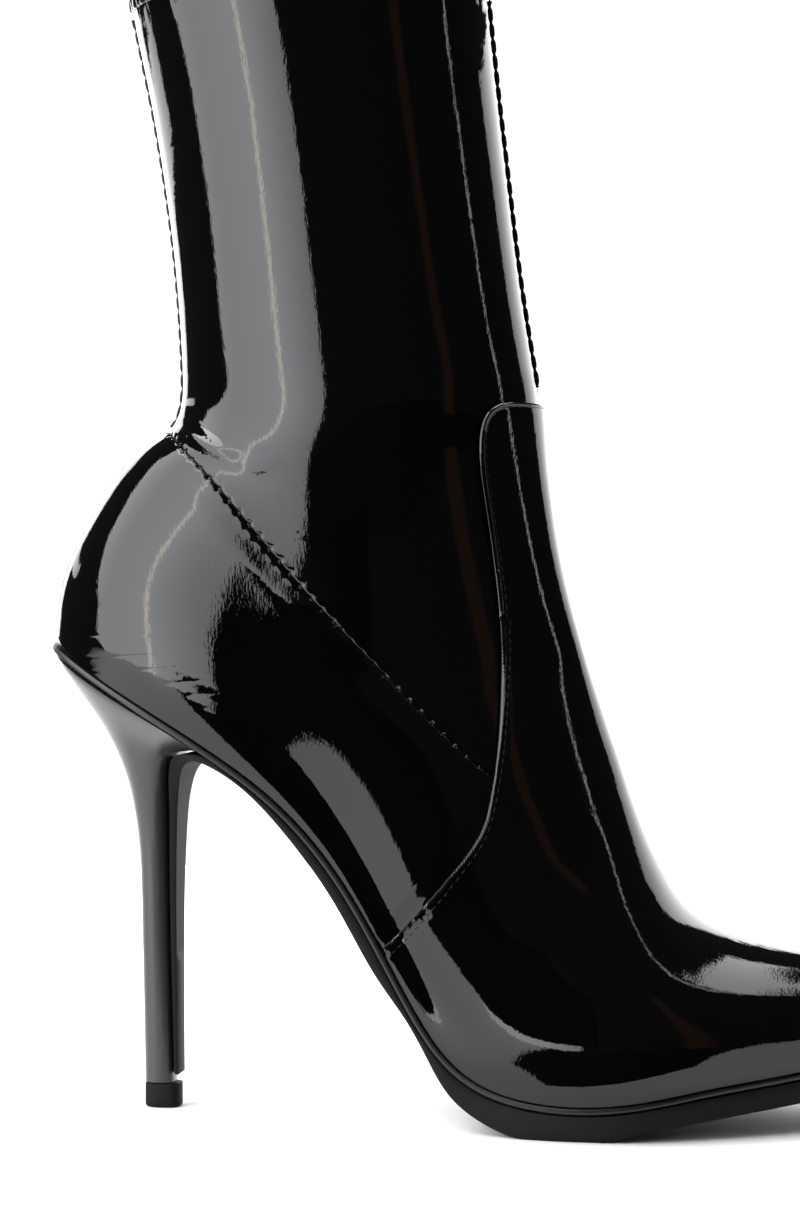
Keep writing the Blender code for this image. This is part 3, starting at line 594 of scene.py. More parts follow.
shaft_real = np.zeros(len(shaft_outline), bool)
inner_seam = len(collar_line) + len(back_line) - 2
outer_seam = len(collar_line) + 2 * len(side_path) - 1 - (len(back_line) - 2) - len(seam)
for seam_from in (inner_seam, outer_seam):
    shaft_real[seam_from:seam_from + len(seam)] = True
GUIDE_POINTS = 190


def guides(lowest, shares):
    """Lines of mesh points up the shaft beside a seam, at these girth shares."""
    rows = np.linspace(lowest, TOP - 0.1, GUIDE_POINTS)
    return [np.stack([rows, np.full(GUIDE_POINTS, share)], axis=-1) for share in shares]


back_guides = guides(seam[0, 0] + 0.15, [side * (1 - w / HALF_GIRTH) for side in (-1, 1)
                                         for w in (0.6, 1.4, 2.0, 2.4, 2.8, 3.2, 3.7)])
front_guides = guides(21.7, [w / HALF_GIRTH for w in (-2.2, -1.7, -1.3, -0.9, 0, 0.9, 1.3, 1.7, 2.2)])
shaft = skin("shaft", shaft_outline, shaft_real, STEP, lambda u, v, p: hollow(p) - 0.6 * MM,
             shaft_face, patent_skin, more=back_guides + front_guides)
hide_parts("upper")
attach(shaft, "root")

# Lining: the same sock carried on from the toe to the collar inside the panels. It is matte black jersey,
# bonded to the shaft and lasted under with the panels, so it is made as one tube.


def plain(name, colour, roughness, grain, strength, coat=0.0, shine=0.5):
    """A dull material with a fine grain; grain is the count of its marks along a metre."""
    material = bpy.data.materials.new(name)
    material.use_nodes = True
    nodes, links = material.node_tree.nodes, material.node_tree.links
    shader = nodes["Principled BSDF"]
    shader.inputs["Roughness"].default_value = roughness
    shader.inputs["Coat Weight"].default_value = coat
    shader.inputs["Coat Roughness"].default_value = 0.12
    shader.inputs["Specular IOR Level"].default_value = shine
    where = nodes.new("ShaderNodeTexCoord")
    fine = nodes.new("ShaderNodeTexNoise")
    fine.inputs["Scale"].default_value = grain
    fine.inputs["Detail"].default_value = 4.0
    broad = nodes.new("ShaderNodeTexNoise")
    broad.inputs["Scale"].default_value = grain / 25
    shade = nodes.new("ShaderNodeValToRGB")
    shade.color_ramp.elements[0].color = (*(0.75 * c for c in colour), 1)
    shade.color_ramp.elements[1].color = (*(1.3 * c for c in colour), 1)
    bump = nodes.new("ShaderNodeBump")
    bump.inputs["Strength"].default_value = strength
    bump.inputs["Distance"].default_value = 0.0001
    links.new(where.outputs["Object"], fine.inputs["Vector"])
    links.new(where.outputs["Object"], broad.inputs["Vector"])
    links.new(broad.outputs["Fac"], shade.inputs["Fac"])
    links.new(shade.outputs["Color"], shader.inputs["Base Color"])
    links.new(fine.outputs["Fac"], bump.inputs["Height"])
    links.new(bump.outputs["Normal"], shader.inputs["Normal"])
    return material


def sleeve(name, stations, shares, inner, outer, material):
    """A tube of the last between two faces, open at its last station and along the feather line."""
    grid_u, grid_v = np.meshgrid(stations, shares, indexing="ij")
    (rows, columns), size = grid_u.shape, grid_u.size
    closed = stations >= HEEL - 1e-9
    layers = []
    for face in (outer, inner):
        by = face(grid_u.ravel(), grid_v.ravel(), surface(grid_u.ravel(), grid_v.ravel()))
        layer = raised(grid_u, grid_v, by.reshape(grid_u.shape))
        if stations[0] < 1e-9:
            layer[0] = layer[0].mean(axis=0)
        layer[closed, 0] = layer[closed, -1] = (layer[closed, 0] + layer[closed, -1]) / 2
        layers.append(layer.reshape(-1, 3))
    faces = []
    for i in range(rows - 1):
        for a in range(i * columns, i * columns + columns - 1):
            quad = (a, a + 1, a + 1 + columns, a + columns)
            faces += [quad, tuple(size + k for k in quad[::-1])]
        if not closed[i]:
            a, b = i * columns, (i + 1) * columns
            faces.append((a, b, b + size, a + size))
            faces.append((b - 1 + size, b - 1 + columns + size, b - 1 + columns, b - 1))
    for j in range(columns - 1):
        a = (rows - 1) * columns + j
        faces.append((a, a + 1, a + 1 + size, a + size))
        if stations[0] > 1e-9:
            faces.append((j + size, j + 1 + size, j + 1, j))
    return finish_mesh(name, np.concatenate(layers), faces, material)


jersey = plain("jersey", (0.012, 0.012, 0.013), 0.75, 2600, 0.5)
lining_stations = np.concatenate([[0, 0.3, 0.7], np.linspace(1.2, 14.6, 40), [15.0, 15.4, 15.7, 15.9, 16.0],
                                  np.linspace(16.3, 30.95, 52)])
lining = sleeve("lining", lining_stations, np.linspace(-1, 1, 73), lambda u, v, p: hollow(p) - 1.3 * MM,
                lambda u, v, p: hollow(p) - 0.65 * MM, jersey)
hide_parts("upper")
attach(lining, "root")

# Vamp: one thick panel of the same patent over toe and instep, with a tongue up the shin. Its edge is
# folded under and stitched 1.4 mm in, and stands proud of the shaft and the counter below it.
STITCH_IN = 1.4
RESTS = 0.8  # millimetres off the last of its inner face, where it lies on the shaft and the counter
THICK = 0.7  # and its own thickness there
EDGE_STEP = 0.15  # millimetres between points of its edge as it is measured
vamp_fine = drawn(VAMP_EDGE, EDGE_STEP * MM)
vamp_tree = near_tree(np.concatenate([
    surface(vamp_fine[:, 0], side * vamp_fine[:, 1]) for side in (-1, 1)]))


def vamp_under(u, v, place):
    return RESTS * MM * (1 - eased((distance_to(vamp_tree, place)[0] / MM - 1.5) / 3)) + hollow(place)


def vamp_face(u, v, place):
    """Outer face: a folded edge with a bead, slack between its stitches, and a groove under them."""
    far, number = distance_to(vamp_tree, place)
    row = np.exp(-(((far / MM - STITCH_IN) / 0.38) ** 2))
    along = (number % len(vamp_fine)) * EDGE_STEP
    fold = 0.02 * np.sin(along / 2.3 * 2 * math.pi) * np.exp(-((far / (1.6 * MM)) ** 2))
    pucker = 0.12 * np.sin(along / 4.2 * 2 * math.pi) * np.exp(-(((along - 16) / 8) ** 2))
    pucker = pucker * np.exp(-((far / (2.2 * MM)) ** 2))
    bead = 0.16 * np.exp(-(((far / MM - 0.6) / 0.35) ** 2))
    base = RESTS + (THICK + fold + pucker) * rounded(far, 0.6)
    return (base + bead - 0.12 * row) * MM + hollow(place)


feather_run = np.linspace(0, vamp_edge[0, 0], 150)[1:-1]
tip = [(0, v) for v in (0.67, 0.33, 0, -0.33, -0.67)]
vamp_outline = np.concatenate([
    [(0, -1)], [(u, -1) for u in feather_run], vamp_edge[:-1] * (1, -1), [(vamp_edge[-1, 0], 0)],
    vamp_edge[:-1][::-1], [(u, 1) for u in feather_run[::-1]], [(0, 1)], tip,
])
vamp_real = np.zeros(len(vamp_outline), bool)
vamp_real[len(feather_run) + 1: len(feather_run) + 2 * len(vamp_edge)] = True
vamp = skin("vamp_panel", vamp_outline, vamp_real, STEP, vamp_under, vamp_face, patent_skin)
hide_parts("vamp")
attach(vamp, "root")

# Counter: two panels round the heel, sewn to each other up the back and to the shaft along the
# slanting seam. Both seams are drawn in by their thread every few millimetres.
back_fine = surface(np.linspace(HEEL, TOP, 3000), 1.0)
back_tree = near_tree(back_fine)


def counter_face(u, v, place):
    """Outer face: it thins towards the vamp, and its two sewn edges are rounded and drawn in."""
    slant, along = seam_place(v, place)
    back, edge = distance_to(back_tree, place)[0], distance_to(vamp_tree, place)[0]
    height = 0.78 + 0.42 * eased(slant / (7 * MM))
    height = 0.7 + (height - 0.7) * eased((edge / MM - 1) / 4)
    height = height * rounded(slant, 0.9) * rounded(back, 0.8)
    draw = np.exp(-((off_knot(place[:, 2]) / (0.6 * MM)) ** 2)) * np.exp(-((back / (0.9 * MM)) ** 2))
    return (height - 0.5 * pinches(along, slant) - 0.35 * draw) * MM + hollow(place)


TUCKED = 1.5  # millimetres that the counter goes under the vamp
into_vamp = (vamp_line + steer * TUCKED / METRIC)[:meets + 1]
into_vamp[0, 1] = 1.0
counter_back = evenly([(HEEL, 1), (seam[0, 0], 1)], FINE)
feather_line = evenly([(into_vamp[0, 0], 1), (HEEL, 1)], 0.9 * MM)
counter_half = np.concatenate([counter_back[:-1], seam, into_vamp[::-1], feather_line[1:-1]])
counter_real = np.arange(len(counter_half)) < len(counter_back) - 1 + len(seam)
for name, side in (("counter_outer", -1), ("counter_inner", 1)):
    counter = skin(name, counter_half * (1, side), counter_real, STEP, lambda u, v, p: hollow(p),
                   counter_face, patent_skin)
    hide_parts("quarter")
    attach(counter, "root")

# Collar: the shaft is turned over a wide elastic and sewn down, and gathered by it into fine upright
# pleats that run on a little way below it.
HEM_START = 29.93


def hem_face(u, v, place):
    wave = pleats(v)
    rim = np.clip((TOP - u) / 0.1, 0, 1)
    foot = np.clip((u - HEM_START) / 0.08, 0, 1)
    level = 0.55 + 0.3 * wave + 0.1 * np.sin(v * 140 + u * 9)
    return MM * level * np.sqrt(1 - (1 - rim) ** 2 * 0.9) * np.sqrt(1 - (1 - foot) ** 2 * 0.7)


hem_rows = np.concatenate([HEM_START + np.array([0, 0.012, 0.03, 0.055, 0.08]),
                           np.linspace(HEM_START + 0.15, 30.85, 10), [30.92, 30.95, 30.975, 30.99, TOP]])
collar = sleeve("collar_gathers", hem_rows, np.linspace(-1, 1, 12 * TAILS // 2 + 1),
                lambda u, v, p: np.where(u > 30.98, -0.9, -1.45) * MM, hem_face, patent_skin)
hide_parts("collar_band")
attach(collar, "root")

# Insole and midsole: a board under the lasted upper, covered inside by its sock, with a narrow black
# lip that shows as the dark line between upper and sole.


def below_feather(x, drop):
    height, slope = feather(x)
    long = np.sqrt(1 + slope ** 2)
    return x + drop * slope / long, height - drop / long


def footprint(margin, count):
    """Plan of the feather line moved outward by a margin: x, axis and half width, toe to heel."""
    turn = np.linspace(math.pi, 0, 900)
    heel, tip_x = PLAN["x"][-1] * MM, PLAN["x"][0] * MM
    x = heel + (tip_x - heel) * (1 - np.cos(turn)) / 2
    axis, half = plan(x)
    half[[0, -1]] = 0
    run, rise = np.gradient(x), np.gradient(half)
    length = np.hypot(run, rise)
    moved, wider = x + margin * rise / length, half - margin * run / length
    wider[[0, -1]] = 0
    moved[0], moved[-1] = tip_x + margin, heel - margin
    pick = np.round(np.linspace(0, 899, count)).astype(int)
    return moved[pick], axis[pick], wider[pick]


def ladder(name, levels, material):
    """A slab from a few outlines, top first: each is x, z, axis and half width, station by station."""
    half = levels[0][3]
    near = list(range(len(half)))
    far = [i for i in near[::-1] if half[i] > 0]
    rings = []
    for x, z, axis, wide in levels:
        outer_side, inner_side = (np.stack([x, axis + sign * wide, z], axis=-1) for sign in (-1, 1))
        rings.append(np.concatenate([outer_side, inner_side[far]]))
    count, faces = len(rings[0]), []
    for k in range(len(rings) - 1):
        for i in range(count):
            j = (i + 1) % count
            faces.append((k * count + i, k * count + j, (k + 1) * count + j, (k + 1) * count + i))
    other = {i: len(near) + k for k, i in enumerate(far)}
    for base, flip in ((0, True), ((len(rings) - 1) * count, False)):
        for i in near[:-1]:
            ring = [i, i + 1, other.get(i + 1, i + 1), other.get(i, i)]
            ring = [base + p for p, q in zip(ring, ring[1:] + ring[:1]) if p != q]
            faces.append(tuple(ring[::-1] if flip else ring))
    return finish_mesh(name, np.concatenate(rings), faces, material)


def slab(name, depths, count, material):
    """A sheet that follows the feather surface; depths are pairs of drop below it and margin."""
    levels = []
    for drop, margin in depths:
        x, axis, half = footprint(margin * MM, count)
        levels.append((*below_feather(x, drop * MM), axis, half))
    return ladder(name, levels, material)


sock_cover = plain("sock_cover", (0.014, 0.014, 0.015), 0.6, 1500, 0.4)
insole = slab("sock_lining", ((-1.6, -2.6), (-1.5, -2.35), (-1.2, -2.3), (-0.05, -2.3)), 160, sock_cover)
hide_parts("insole")
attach(insole, "root")
lip_black = plain("lip_black", (0.003, 0.003, 0.003), 0.42, 1200, 0.3)
# Millimetres below the feather line and out from it, from the top of the lip's edge to its foot.
LIP_SHAPE = (0.45, 1.3), (0.5, 1.55), (0.7, 1.7), (1.6, 1.7), (1.8, 1.55), (1.85, 1.4)
lip = slab("midsole_lip", LIP_SHAPE, 240, lip_black)
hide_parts("midsole")
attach(lip, "root")

# Outsole: moulded matte rubber, thick under the ball, thin and waisted in the arch. It turns down the
# front of the heel as a tongue.
TREAD = table("x z half", [
    (224.5, 14.4, 0.0), (218.0, 12.9, 8.6), (208.0, 11.1, 15.6), (196.0, 9.0, 21.9),
    (181.0, 6.7, 28.4), (164.0, 4.4, 34.6), (150.0, 2.2, 38.0), (140.0, 0.0, 38.0),
    (128.0, 0.0, 36.2), (120.0, 0.0, 33.8), (112.0, 2.6, 31.0), (104.4, 7.4, 28.2),
    (98.8, 14.6, 26.0), (92.4, 25.4, 23.8), (84.0, 36.8, 22.0), (75.2, 51.6, 20.8),
    (66.2, 64.6, 20.6), (55.8, 76.8, 21.4), (47.6, 83.6, 22.0), (41.6, 86.6, 20.6),
    (37.4, 87.0, 16.6), (34.2, 84.6, 11.4), (32.8, 79.6, 8.4), (32.1, 72.0, 6.8),
    (31.6, 54.0, 5.4), (31.6, 30.0, 4.6), (31.8, 8.3, 4.2),
])
LIES = [224.5, 218.4, 208.3, 196.4, 181.4, 164.3, 150.2, 140.0, 129.0, 121.0, 113.8, 107.4,
        102.0, 95.8, 88.6, 80.6, 71.6, 59.6, 50.0]
BREAST = table("x z", [
    (42.2, 88.2), (36.4, 88.8), (31.6, 87.2), (30.3, 80.6), (30.2, 72.2), (30.0, 54.2),
    (30.4, 30.2), (30.9, 8.5),
])
spots = np.arange(len(TREAD["x"]))
fine = np.unique(np.concatenate([np.linspace(0, len(spots) - 1, 8 * (len(spots) - 1) + 1), [0.03, 0.06]]))
low = {k: curve(spots, TREAD[k], fine) for k in TREAD}
low["z"] = np.where((fine >= 7) & (fine <= 9), 0, np.maximum(low["z"], 0))
low["half"] = np.maximum(low["half"], 0)
low["half"][0] = 0
against = below_feather(np.array(LIES) * MM, 2.3 * MM)
high = {
    "x": curve(spots, np.concatenate([against[0] / MM, BREAST["x"]]), fine),
    "z": curve(spots, np.concatenate([against[1] / MM, BREAST["z"]]), fine),
}
flap = np.clip((fine - 17) / 4, 0, 1)
sole_axis = plan(low["x"] * MM)[0] * (1 - flap)
# The edge of the sole: share of the way up from the tread, and millimetres that it stands out there.
SOLE_EDGE = ((1.0, 0.8), (0.97, 1.0), (0.8, 1.35), (0.55, 1.5), (0.3, 1.3), (0.12, 0.9), (0.03, 0.35),
             (0.0, 0.0))
taper = np.where(low["half"] > 0, 1 - 0.9 * flap, 0)
levels = []
for lift, wide in SOLE_EDGE:
    level_x, level_z = ((low[k] + lift * (high[k] - low[k])) * MM for k in "xz")
    levels.append((level_x, level_z, sole_axis, (low["half"] + wide * taper) * MM))
sole_rubber = plain("sole_rubber", (0.007, 0.007, 0.0075), 0.7, 1400, 0.5, 0.0, 0.12)
outsole = ladder("outsole_rubber", levels, sole_rubber)
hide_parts("outsole")
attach(outsole, "root")

# Heel: a slim block in a glued satin cover, with its join hidden behind the tongue, over a top piece.
BLOCK = table("back_x back_z front_x front_z half square", [
    (1.0, 113.3, 44.0, 87.6, 24.4, 5.0), (1.9, 111.2, 42.0, 88.7, 23.8, 5.0),
    (4.2, 107.8, 38.0, 89.3, 21.6, 4.6), (7.4, 103.2, 33.4, 88.9, 18.0, 4.2),
    (10.9, 98.2, 30.7, 86.8, 14.4, 3.8), (13.8, 93.2, 29.8, 82.6, 11.4, 3.4),
    (16.4, 87.6, 29.7, 78.0, 9.2, 3.0), (18.8, 80.6, 29.6, 73.0, 7.6, 3.0),
    (20.5, 72.0, 29.5, 66.6, 6.5, 3.0), (21.6, 61.0, 29.5, 57.6, 5.7, 3.0),
    (22.1, 42.0, 29.7, 41.0, 5.0, 3.0), (22.5, 22.0, 30.1, 21.8, 4.6, 3.0),
    (22.8, 6.3, 30.4, 6.3, 4.4, 3.0),
])


def loft(name, rings, material):
    count, faces = len(rings[0]), []
    for k in range(len(rings) - 1):
        for i in range(count):
            j = (i + 1) % count
            faces.append((k * count + j, k * count + i, (k + 1) * count + i, (k + 1) * count + j))
    faces.append(tuple(range(count)))
    faces.append(tuple(range((len(rings) - 1) * count, len(rings) * count))[::-1])
    return finish_mesh(name, np.concatenate(rings), faces, material)


def block_ring(back, front, half, square, count=112):
    """One D-shaped section of the heel: round behind, squarer at the breast."""
    ring = []
    for turn in np.linspace(0, 2 * math.pi, count, endpoint=False):
        power = 2 / (square if math.cos(turn) > 0 else 2.15)
        lengthwise = math.copysign(abs(math.cos(turn)) ** power, math.cos(turn))
        sideways = math.copysign(abs(math.sin(turn)) ** power, math.sin(turn))
        share = 0.54 + lengthwise * (0.46 if lengthwise > 0 else 0.54)
        x, z = (b + share * (f - b) for b, f in zip(back, front))
        ring.append((x, half * sideways, z))
    return np.array(ring)


order = np.arange(len(BLOCK["half"]))
block = {k: curve(order, BLOCK[k], np.linspace(0, order[-1], 90)) for k in BLOCK}
block = {k: block[k] * (1 if k == "square" else MM) for k in BLOCK}
rings = [block_ring((a, b), (c, d), h, s) for a, b, c, d, h, s in zip(*(block[k] for k in BLOCK))]
heel_cover = plain("heel_cover", (0.017, 0.017, 0.018), 0.36, 900, 0.35, 0.25)
heel = loft("heel_cover_block", rings, heel_cover)
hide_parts("heel")
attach(heel, "root")
tip_rings = [block_ring(((22.7 + less) * MM, z * MM), ((31.9 - less) * MM, z * MM), (4.4 - less) * MM, 3.0)
             for z, less in ((6.0, 0.35), (5.85, 0.08), (5.6, 0.0), (0.7, 0.0), (0.25, 0.15), (0.0, 0.5))]
top_piece = loft("top_piece", tip_rings, sole_rubber)
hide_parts("heel_tip")
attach(top_piece, "root")

# Threads: waxed black thread. A row of stitches runs along the folded edge of the vamp, loops draw the
# slanting seam in, and the turned edges of the upright seams stand proud like thin piping.


def thread_row(name, line, face, half_length, half_width, gap, turn, material, side):
    """Stitches in a row on the skin, placed by a Geometry Nodes group and made plain mesh.

    Lengths and the gap are millimetres, and turn is how far a stitch is turned from the row.
    """
    line = evenly(line, gap * MM)
    u, v = line[:, 0], side * line[:, 1]
    spot = raised(u, v, face(u, v, surface(u, v)) + 0.02 * MM)
    run = np.gradient(spot, axis=0)
    run /= np.linalg.norm(run, axis=-1, keepdims=True)
    out = tangents(u, v)[2]
    run = run * math.cos(turn) + np.cross(out, run) * math.sin(turn)
    mesh = bpy.data.meshes.new(name)
    mesh.from_pydata((spot + (HEEL_BACK, MIDDLE, 0)).tolist(), [], [])
    for label, values in (("run", run), ("out", out)):
        mesh.attributes.new(label, "FLOAT_VECTOR", "POINT").data.foreach_set("vector", values.ravel())
    obj = bpy.data.objects.new(name, mesh)
    bpy.context.scene.collection.objects.link(obj)
    modifier = obj.modifiers.new("stitches", "NODES")
    modifier.node_group = stitch_group
    given = {"Half length": half_length * MM, "Half width": half_width * MM, "Thread": material}
    for socket in stitch_group.interface.items_tree:
        if socket.item_type == "SOCKET" and socket.in_out == "INPUT" and socket.name in given:
            modifier[socket.identifier] = given[socket.name]
    bpy.context.view_layer.update()
    grown = obj.evaluated_get(bpy.context.evaluated_depsgraph_get())
    plain_mesh = bpy.data.meshes.new_from_object(grown)
    obj.modifiers.remove(modifier)
    obj.data = plain_mesh
    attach(obj, "root")
    return obj


stitch_group = bpy.data.node_groups.new("stitches", "GeometryNodeTree")
for label, kind in (("Geometry", "Geometry"), ("Half length", "Float"), ("Half width", "Float"),
                    ("Thread", "Material")):
    stitch_group.interface.new_socket(label, in_out="INPUT", socket_type="NodeSocket" + kind)
stitch_group.interface.new_socket("Geometry", in_out="OUTPUT", socket_type="NodeSocketGeometry")
add, join = stitch_group.nodes.new, stitch_group.links.new
source, sink = add("NodeGroupInput"), add("NodeGroupOutput")
points, bead = add("GeometryNodeMeshToPoints"), add("GeometryNodeMeshUVSphere")
bead.inputs["Segments"].default_value = 10
bead.inputs["Rings"].default_value = 7
bead.inputs["Radius"].default_value = 1.0
size, shaped = add("ShaderNodeCombineXYZ"), add("GeometryNodeTransform")
axes, placed = add("FunctionNodeAxesToRotation"), add("GeometryNodeInstanceOnPoints")
axes.primary_axis, axes.secondary_axis = "X", "Z"
along_name, out_name = add("GeometryNodeInputNamedAttribute"), add("GeometryNodeInputNamedAttribute")
for node, label in ((along_name, "run"), (out_name, "out")):
    node.data_type = "FLOAT_VECTOR"
    node.inputs["Name"].default_value = label
real_mesh, smooth = add("GeometryNodeRealizeInstances"), add("GeometryNodeSetShadeSmooth")
coloured = add("GeometryNodeSetMaterial")
join(source.outputs["Geometry"], points.inputs["Mesh"])
join(source.outputs["Half length"], size.inputs["X"])
join(source.outputs["Half width"], size.inputs["Y"])
join(source.outputs["Half width"], size.inputs["Z"])
join(bead.outputs["Mesh"], shaped.inputs["Geometry"])
join(size.outputs["Vector"], shaped.inputs["Scale"])
join(along_name.outputs["Attribute"], axes.inputs["Primary Axis"])
join(out_name.outputs["Attribute"], axes.inputs["Secondary Axis"])
join(points.outputs["Points"], placed.inputs["Points"])
join(shaped.outputs["Geometry"], placed.inputs["Instance"])
join(axes.outputs["Rotation"], placed.inputs["Rotation"])
join(placed.outputs["Instances"], real_mesh.inputs["Geometry"])
join(real_mesh.outputs["Geometry"], smooth.inputs["Geometry"])
join(smooth.outputs["Geometry"], coloured.inputs["Geometry"])
join(source.outputs["Thread"], coloured.inputs["Material"])
join(coloured.outputs["Geometry"], sink.inputs["Geometry"])

thread = plain("thread", (0.004, 0.004, 0.004), 0.5, 4000, 0.4, 0.0, 0.25)
waxed_thread = plain("waxed_thread", (0.003, 0.003, 0.003), 0.4, 4000, 0.2, 0.9)
stitch_line = (vamp_line + steer * STITCH_IN / METRIC)[3:]
knot_line = drawn(SEAM, 0.3 * MM)
for side, label in ((-1, "outer"), (1, "inner")):
    thread_row("vamp_stitches_" + label, stitch_line, vamp_face, 0.75, 0.13, 2.3, 0.0, thread, side)
    thread_row("seam_knots_" + label, knot_line, shaft_face, 0.7, 0.22, PINCH / MM, math.pi / 2,
               waxed_thread, side)
CORD_POINTS = 700  # rings along a cord
HALF_ROUND = 120  # rough millimetres from the front line to the back, where the cords lie


def piping(name, stations, off, radius, face, side, front):
    """The turned edge that a seam leaves proud of the skin, drawn in at every stitch."""
    u = np.linspace(*stations, CORD_POINTS)
    v = side * (off / HALF_ROUND if front else 1 - off / HALF_ROUND) * np.ones(CORD_POINTS)
    place = surface(u, v)
    centre = raised(u, v, face(u, v, place) + 0.15 * radius * MM)
    run = np.gradient(centre, axis=0)
    run /= np.linalg.norm(run, axis=-1, keepdims=True)
    out = tangents(u, v)[2]
    across = np.cross(run, out)
    thick = radius * MM * (1 - 0.4 * np.exp(-((off_knot(place[:, 2]) / (0.6 * MM)) ** 2)))
    turns = np.linspace(0, 2 * math.pi, 10, endpoint=False)
    rings = [centre[i] + thick[i] * (np.outer(np.cos(turns), out[i]) + np.outer(np.sin(turns), across[i]))
             for i in range(len(u))]
    cord = loft(name, rings, thread)
    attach(cord, "root")


for side, label in ((-1, "outer"), (1, "inner")):
    piping("back_piping_" + label, (seam[0, 0] + 0.1, BAND_FOOT), 2.0, 0.55, shaft_face, side, False)
    piping("counter_piping_" + label, (16.15, seam[0, 0] - 0.1), 1.6, 0.35, counter_face, side, False)
piping("front_piping", (21.9, BAND_FOOT), 0.8, 0.5, shaft_face, -1, True)

# Floor and lamps. The boot stands on a white table in front of a low white backdrop. A tall softbox at
# the left, an overhead panel and a few narrow lights make the reflections that the photograph shows.
AIM = Vector((HEEL_BACK + 87.0 * MM, MIDDLE, 125.5 * MM))
TURN = math.radians(7.5)  # the camera stands this far round towards the toe


def glow(name, colour, strength):
    material = bpy.data.materials.new(name)
    material.use_nodes = True
    nodes = material.node_tree.nodes
    nodes.remove(nodes["Principled BSDF"])
    lamp = nodes.new("ShaderNodeEmission")
    lamp.inputs["Color"].default_value = (*colour, 1)
    lamp.inputs["Strength"].default_value = strength
    material.node_tree.links.new(lamp.outputs["Emission"], nodes["Material Output"].inputs["Surface"])
    return material


def screen(name, start_angle, end_angle, radius, low_edges, high_edge, colour, start_level, end_level):
    """A curved light panel round the boot. Angles count in degrees to the left of the camera.

    low_edges are the heights of its lower corners, and the levels are how bright its ends are.
    """
    count = max(2, int(abs(end_angle - start_angle) / 4) + 1)
    points, faces, levels = [], [], []
    for k, angle in enumerate(np.radians(np.linspace(start_angle, end_angle, count))):
        x, y = AIM.x + radius * math.sin(TURN - angle), AIM.y - radius * math.cos(TURN - angle)
        share = k / (count - 1)
        points += [(x, y, low_edges[0] + (low_edges[1] - low_edges[0]) * share), (x, y, high_edge)]
        levels += [start_level + (end_level - start_level) * share] * 2
        if k:
            faces.append((2 * k - 2, 2 * k, 2 * k + 1, 2 * k - 1))
    mesh = bpy.data.meshes.new(name)
    mesh.from_pydata(points, [], faces)
    mesh.attributes.new("level", "FLOAT", "POINT").data.foreach_set("value", levels)
    material = glow(name, colour, 1.0)
    nodes = material.node_tree.nodes
    level = nodes.new("ShaderNodeAttribute")
    level.attribute_name = "level"
    material.node_tree.links.new(level.outputs["Fac"], nodes["Emission"].inputs["Strength"])
    mesh.materials.append(material)
    panel = bpy.data.objects.new(name, mesh)
    bpy.context.scene.collection.objects.link(panel)
    panel.visible_camera = False
    return panel


cool, neutral, warm = (0.96, 0.98, 1.0), (1.0, 1.0, 1.0), (1.0, 0.94, 0.85)
screen("softbox_right", 25.0, 48.0, 0.90, (0.0, 0.0), 1.9, cool, 3.0, 5.4)
screen("softbox_left", 48.0, 80.5, 0.90, (0.0, 0.0), 1.9, cool, 5.4, 4.2)
screen("softbox_core", 47.6, 49.8, 0.88, (0.0, 0.0), 1.9, warm, 9.0, 9.0)
screen("softbox_wing", 80.5, 112.0, 0.90, (0.0, 0.72), 1.9, cool, 4.2, 4.2)
screen("softbox_top", 25.0, 115.0, 0.87, (1.0, 1.0), 1.9, cool, 8.5, 8.5)
screen("backdrop_left", 121, 140, 0.75, (0.26, 0.26), 0.30, neutral, 2.4, 2.8)
screen("backdrop_back", 140, 190, 0.76, (0.0, 0.0), 0.47, neutral, 3.2, 5.0)
screen("backdrop_right", 190, 242, 0.75, (0.0, 0.0), 0.45, neutral, 5.0, 1.6)
screen("side_strip", -84.6, -83.2, 0.9, (0.0, 0.0), 1.4, neutral, 3.6, 3.6)
screen("warm_object", -46, -40, 0.9, (0.0, 0.0), 1.0, (0.5, 0.25, 0.16), 0.3, 0.3)


def sheet(name, corners, material):
    mesh = bpy.data.meshes.new(name)
    mesh.from_pydata(corners, [], [tuple(range(len(corners)))])
    mesh.materials.append(material)
    obj = bpy.data.objects.new(name, mesh)
    bpy.context.scene.collection.objects.link(obj)
    return obj


top_panel = sheet("top_panel", [(-0.5, -0.3, 1.5), (-0.5, 0.7, 1.5), (0.5, 0.7, 1.5), (0.5, -0.3, 1.5)],
                  glow("top_light", (1.0, 1.0, 1.0), 6.0))
top_panel.visible_camera = False
strip_edge = [(0.93, 0.10), (0.82, 0.47), (0.64, 1.07), (0.49, 1.04), (0.65, 0.29), (0.85, -0.01)]
strip_light = sheet("top_strip", [(x, y, 1.35) for x, y in strip_edge], glow("strip_light", neutral, 3.8))
strip_light.visible_camera = False
table_white = bpy.data.materials.new("table_white")
table_white.use_nodes = True
table_shader = table_white.node_tree.nodes["Principled BSDF"]
table_shader.inputs["Base Color"].default_value = (0.86, 0.86, 0.86, 1)
table_shader.inputs["Roughness"].default_value = 0.6
sheet("table", [(-1.0, -0.95, 0), (1.0, -0.95, 0), (1.0, 0.7, 0), (-1.0, 0.7, 0)], table_white)
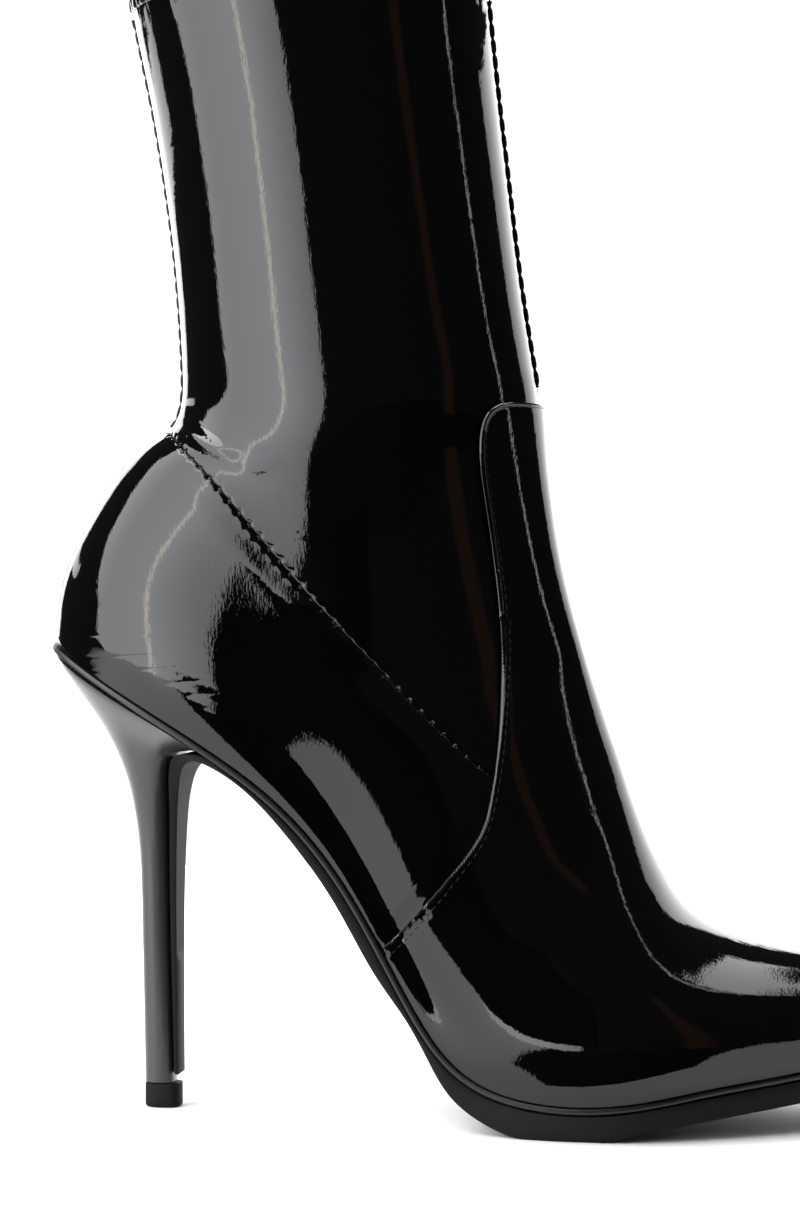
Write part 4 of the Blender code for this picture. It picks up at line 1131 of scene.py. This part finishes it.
# The dark side of the room, which shows only as a mirror image low on the boot.
shade_edge = [(-0.62, -0.95), (-0.21, -0.34), (-0.14, -0.22), (-0.049, -0.096), (0.0, -0.060),
              (0.077, -0.060), (0.40, -0.25), (1.0, -0.36), (1.0, -1.4), (-0.62, -1.4)]
room_shade = sheet("room_shade", [(x, y, 0.0005) for x, y in shade_edge], glow("room_dark", neutral, 0.01))
room_shade.visible_camera = room_shade.visible_diffuse = room_shade.visible_shadow = False
# Painted shade in the mirror image: a black sheet close to the boot, seen only in reflections, keeps the
# side of the instep black.
reflection_shade_edge = [(-0.09, -0.115, 0.028), (0.0, -0.175, 0.028), (0.0, -0.175, 0.13), (-0.09, -0.115, 0.13)]
reflection_shade = sheet("painted_reflection_shade", reflection_shade_edge, glow("painted_dark_reflection", neutral, 0.0))
reflection_shade.visible_camera = reflection_shade.visible_diffuse = reflection_shade.visible_shadow = False

world = bpy.context.scene.world or bpy.data.worlds.new("world")
bpy.context.scene.world = world
world.use_nodes = True
sky, wires = world.node_tree.nodes, world.node_tree.links
sky.clear()
seen, mix = sky.new("ShaderNodeLightPath"), sky.new("ShaderNodeMixShader")
dark, white = sky.new("ShaderNodeBackground"), sky.new("ShaderNodeBackground")
out_node = sky.new("ShaderNodeOutputWorld")
dark.inputs["Color"].default_value = (0.03, 0.03, 0.032, 1)
white.inputs["Color"].default_value = (1.3, 1.3, 1.3, 1)
wires.new(seen.outputs["Is Camera Ray"], mix.inputs["Fac"])
wires.new(dark.outputs["Background"], mix.inputs[1])
wires.new(white.outputs["Background"], mix.inputs[2])
wires.new(mix.outputs["Shader"], out_node.inputs["Surface"])
bpy.context.scene.view_settings.view_transform = "Standard"

# Camera: level, at the height of the ankle, close enough for the near side of the boot to look larger.
camera_data = bpy.data.cameras.new("camera")
camera_data.sensor_fit = "AUTO"
camera_data.sensor_width = 36.0
camera_data.lens = 91.8
camera_data.clip_start = 0.05
camera = bpy.data.objects.new("camera", camera_data)
bpy.context.scene.collection.objects.link(camera)
camera.location = AIM + 0.765 * Vector((math.sin(TURN), -math.cos(TURN), 0))
camera.rotation_euler = (math.pi / 2, 0, TURN)
bpy.context.scene.camera = camera
